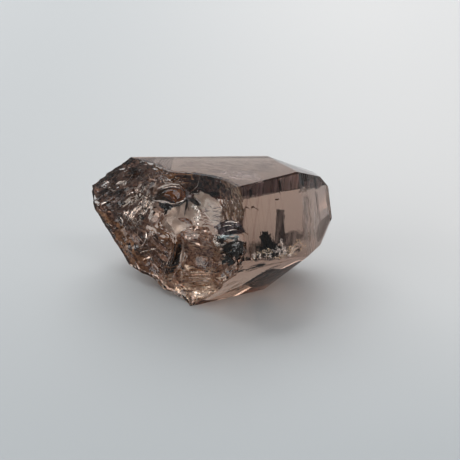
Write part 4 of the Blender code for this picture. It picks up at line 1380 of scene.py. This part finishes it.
def left_details(tree, looks):
    """Larger marks in the left of the break: silvery lines, dark wedges, white glints and pale grains."""
    silver = ((-5.9, 4.4, -5.7, -0.8, 0.5, 0.3), (-6.7, -2.6, -6.0, -5.8, 0.5, 0.1),
              (-12.4, 0.6, -8.6, 3.6, 0.6, 0.2), (-9.6, 3.0, -6.4, 6.6, 0.6, 0.3),
              (-10.2, -0.2, -7.8, 2.8, 0.5, -0.2), (-6.8, -6.9, -3.2, -4.9, 0.5, 0.1),
              (-6.0, -8.3, -3.6, -6.7, 0.4, 0.1))
    add_piece(blades("silvery_lines_left", "break", silver, 0.5), looks["silvery crack flake"])
    dark = ((-7.4, -0.4, -6.2, 2.4, 1.3, 0.2), (-15.4, 2.2, -11.4, 4.6, 0.9, 0.2),
            (-18.4, 1.3, -17.0, 1.9, 0.6, 0.1), (-14.2, 0.6, -11.2, 1.6, 0.6, 0.2),
            (-11.8, 7.6, -7.4, 10.0, 0.9, 0.2), (-9.6, -6.6, -7.9, -5.8, 0.9, 0.1),
            (-13.4, -2.6, -12.0, -0.6, 0.6, 0.1))
    add_piece(blades("dark_wedges_left", "break", dark, 0.6), looks["dark crack shard"])
    glints = ((-16.6, 3.2, -15.2, 4.1, 0.22, 0.1), (-14.4, 4.7, -12.4, 6.1, 0.22, 0.1),
              (-9.2, 9.0, -7.7, 10.2, 0.4, 0.1), (-13.0, -1.6, -12.2, -2.8, 0.4, 0.0),
              (-17.6, -0.4, -16.2, 0.5, 0.3, 0.0), (-9.6, 7.4, -8.4, 8.2, 0.3, 0.1))
    add_piece(blades("white_glints_left", "break", glints, 0.56), looks["white sparkle"])
    strew("silvery_flakes_left", "break", (-7.4, 3.8, 3.6, 2.4, 60.0), 0.56, 127, tree, 14.0,
          (0.08, 0.04, 0.008), (0.55, 0.16, 0.02), 58.0, 0.35, looks["silvery crack flake"],
          lace=(0.3, 1.6, 0.5))
    strew("pale_grains", "break", (-8.4, -1.4, 1.7, 1.0, 80.0), 0.5, 125, tree, 30.0, (0.04, 0.04, 0.02),
          (0.18, 0.12, 0.06), 40.0, 0.9, looks["pale crack edge"], lace=(0.25, 0.6, 0.6))


def right_patch(tree, looks):
    """Black and white patch at the right edge of the break, a painted dark reflection with a painted teal
    highlight, under a purplish wedge.
    """
    black = looks["black inclusion and painted dark reflection"]
    add_piece(patch("purplish_wedge", "break", (13.0, 4.7, 3.2, 1.4, 20.0), 0.6, 131, ragged=0.25,
                    crumple=0.2, spacing=0.1), looks["purplish wedge"])
    lines = ((11.0, 4.0, 14.2, 5.5, 0.22, 0.3), (12.2, 3.8, 15.6, 5.2, 0.2, 0.25),
             (10.9, 4.6, 15.3, 6.2, 0.26, 0.5))
    add_piece(blades("wedge_light_lines", "break", lines, 0.45), looks["silvery crack flake"])
    # painted highlight: a teal-white film for the reflection of a window
    add_piece(patch("teal_painted_highlight", "break", (13.2, 3.0, 1.7, 0.55, 14.0), 0.55, 134, ragged=0.25,
                    lace=(0.15, 1.2, 0.3), crumple=0.15, spacing=0.1), looks["teal painted highlight film"])
    add_piece(patch("dark_film_by_patch", "break", (12.6, 1.5, 2.4, 2.2, 0.0), 0.75, 136, ragged=0.6,
                    grain=0.8, lace=(0.22, 1.2, 0.4), crumple=0.2, spacing=0.12), looks["dark crack shard"])
    # painted dark reflection: black films where the break mirrors dark surroundings
    add_piece(patch("painted_dark_reflection_patch", "break", (15.0, 0.9, 2.5, 2.3, 30.0), 0.5, 137, ragged=0.7, grain=0.8,
                    lace=(0.05, 1.0, 0.5), crumple=0.2, spacing=0.12), black)
    add_piece(patch("painted_dark_reflection_patch_foot", "break", (13.5, -1.4, 2.0, 1.1, 20.0), 0.6, 138, ragged=0.5,
                    grain=0.8, lace=(0.1, 1.0, 0.5), crumple=0.2, spacing=0.12), black)
    # painted highlight: pale teal slits in the black patch
    slits = ((13.4, 1.4, 15.6, 1.9, 0.13, 0.2), (13.2, 0.2, 14.6, 0.9, 0.12, -0.1),
             (14.6, -0.4, 15.8, 0.6, 0.10, 0.1))
    add_piece(blades("light_slits", "break", slits, 0.42), looks["teal painted highlight film"])
    strew("white_crumbs", "break", (11.4, 1.9, 1.5, 1.1, 10.0), 0.4, 140, tree, 44.0, (0.04, 0.03, 0.02),
          (0.24, 0.14, 0.06), 20.0, 0.6, looks["white sparkle"], lace=(0.2, 0.7, 0.5))
    strew("pale_crumbs", "break", (11.6, -0.2, 1.9, 1.7, -20.0), 0.55, 141, tree, 12.0, (0.03, 0.03, 0.02),
          (0.30, 0.08, 0.05), 20.0, 0.6, looks["golden scratch"], lace=(0.3, 0.7, 0.5))


def upright_crack(tree, looks):
    """Dark upright crack below the middle, with a light edge and crumbs at its foot."""
    crack = ((1.5, -0.8, 1.4, -8.2, 0.9, 0.25), (0.6, -4.2, 0.9, -8.0, 0.6, -0.2),
             (2.1, -1.4, 2.0, -5.0, 0.4, 0.1))
    add_piece(blades("upright_crack", "break", crack, 0.65), looks["dark crack shard"])
    edge = ((2.6, -0.8, 2.3, -7.6, 0.34, 0.2), (0.2, -3.0, 0.1, -6.6, 0.2, -0.1),
            (2.6, -0.5, 3.0, -2.3, 0.5, 0.0))
    add_piece(blades("upright_crack_edge", "break", edge, 0.5), looks["pinkish healed film"])
    strew("black_crumbs", "break", (0.8, -7.2, 1.9, 1.2, 10.0), 0.6, 150, tree, 9.0, (0.04, 0.04, 0.02),
          (0.30, 0.16, 0.06), 30.0, 0.9, looks["black inclusion and painted dark reflection"], lace=(0.3, 0.6, 0.6))
    strew("crack_crumbs", "break", (0.9, -6.9, 1.7, 1.2, 0.0), 0.5, 151, tree, 9.0, (0.03, 0.03, 0.02),
          (0.15, 0.10, 0.05), 20.0, 0.9, looks["white sparkle"], lace=(0.4, 0.6, 0.6))


def main():
    """Camera, light and floor, the crystal, and what lies inside it."""
    set_camera()
    set_lights()
    lay_floor()
    body = crystal_body()
    dress(body, quartz_material())
    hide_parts(NODE)
    tree = speck_tree()
    looks = inner_materials()
    front_inclusions_and_dark_reflection(tree, looks)
    growth_lines(tree, looks)
    smoke_and_painted_shade(looks)
    chip_film(looks)
    break_films(looks)
    eye_and_star(looks)
    window_details(tree, looks)
    left_details(tree, looks)
    right_patch(tree, looks)
    upright_crack(tree, looks)


main()
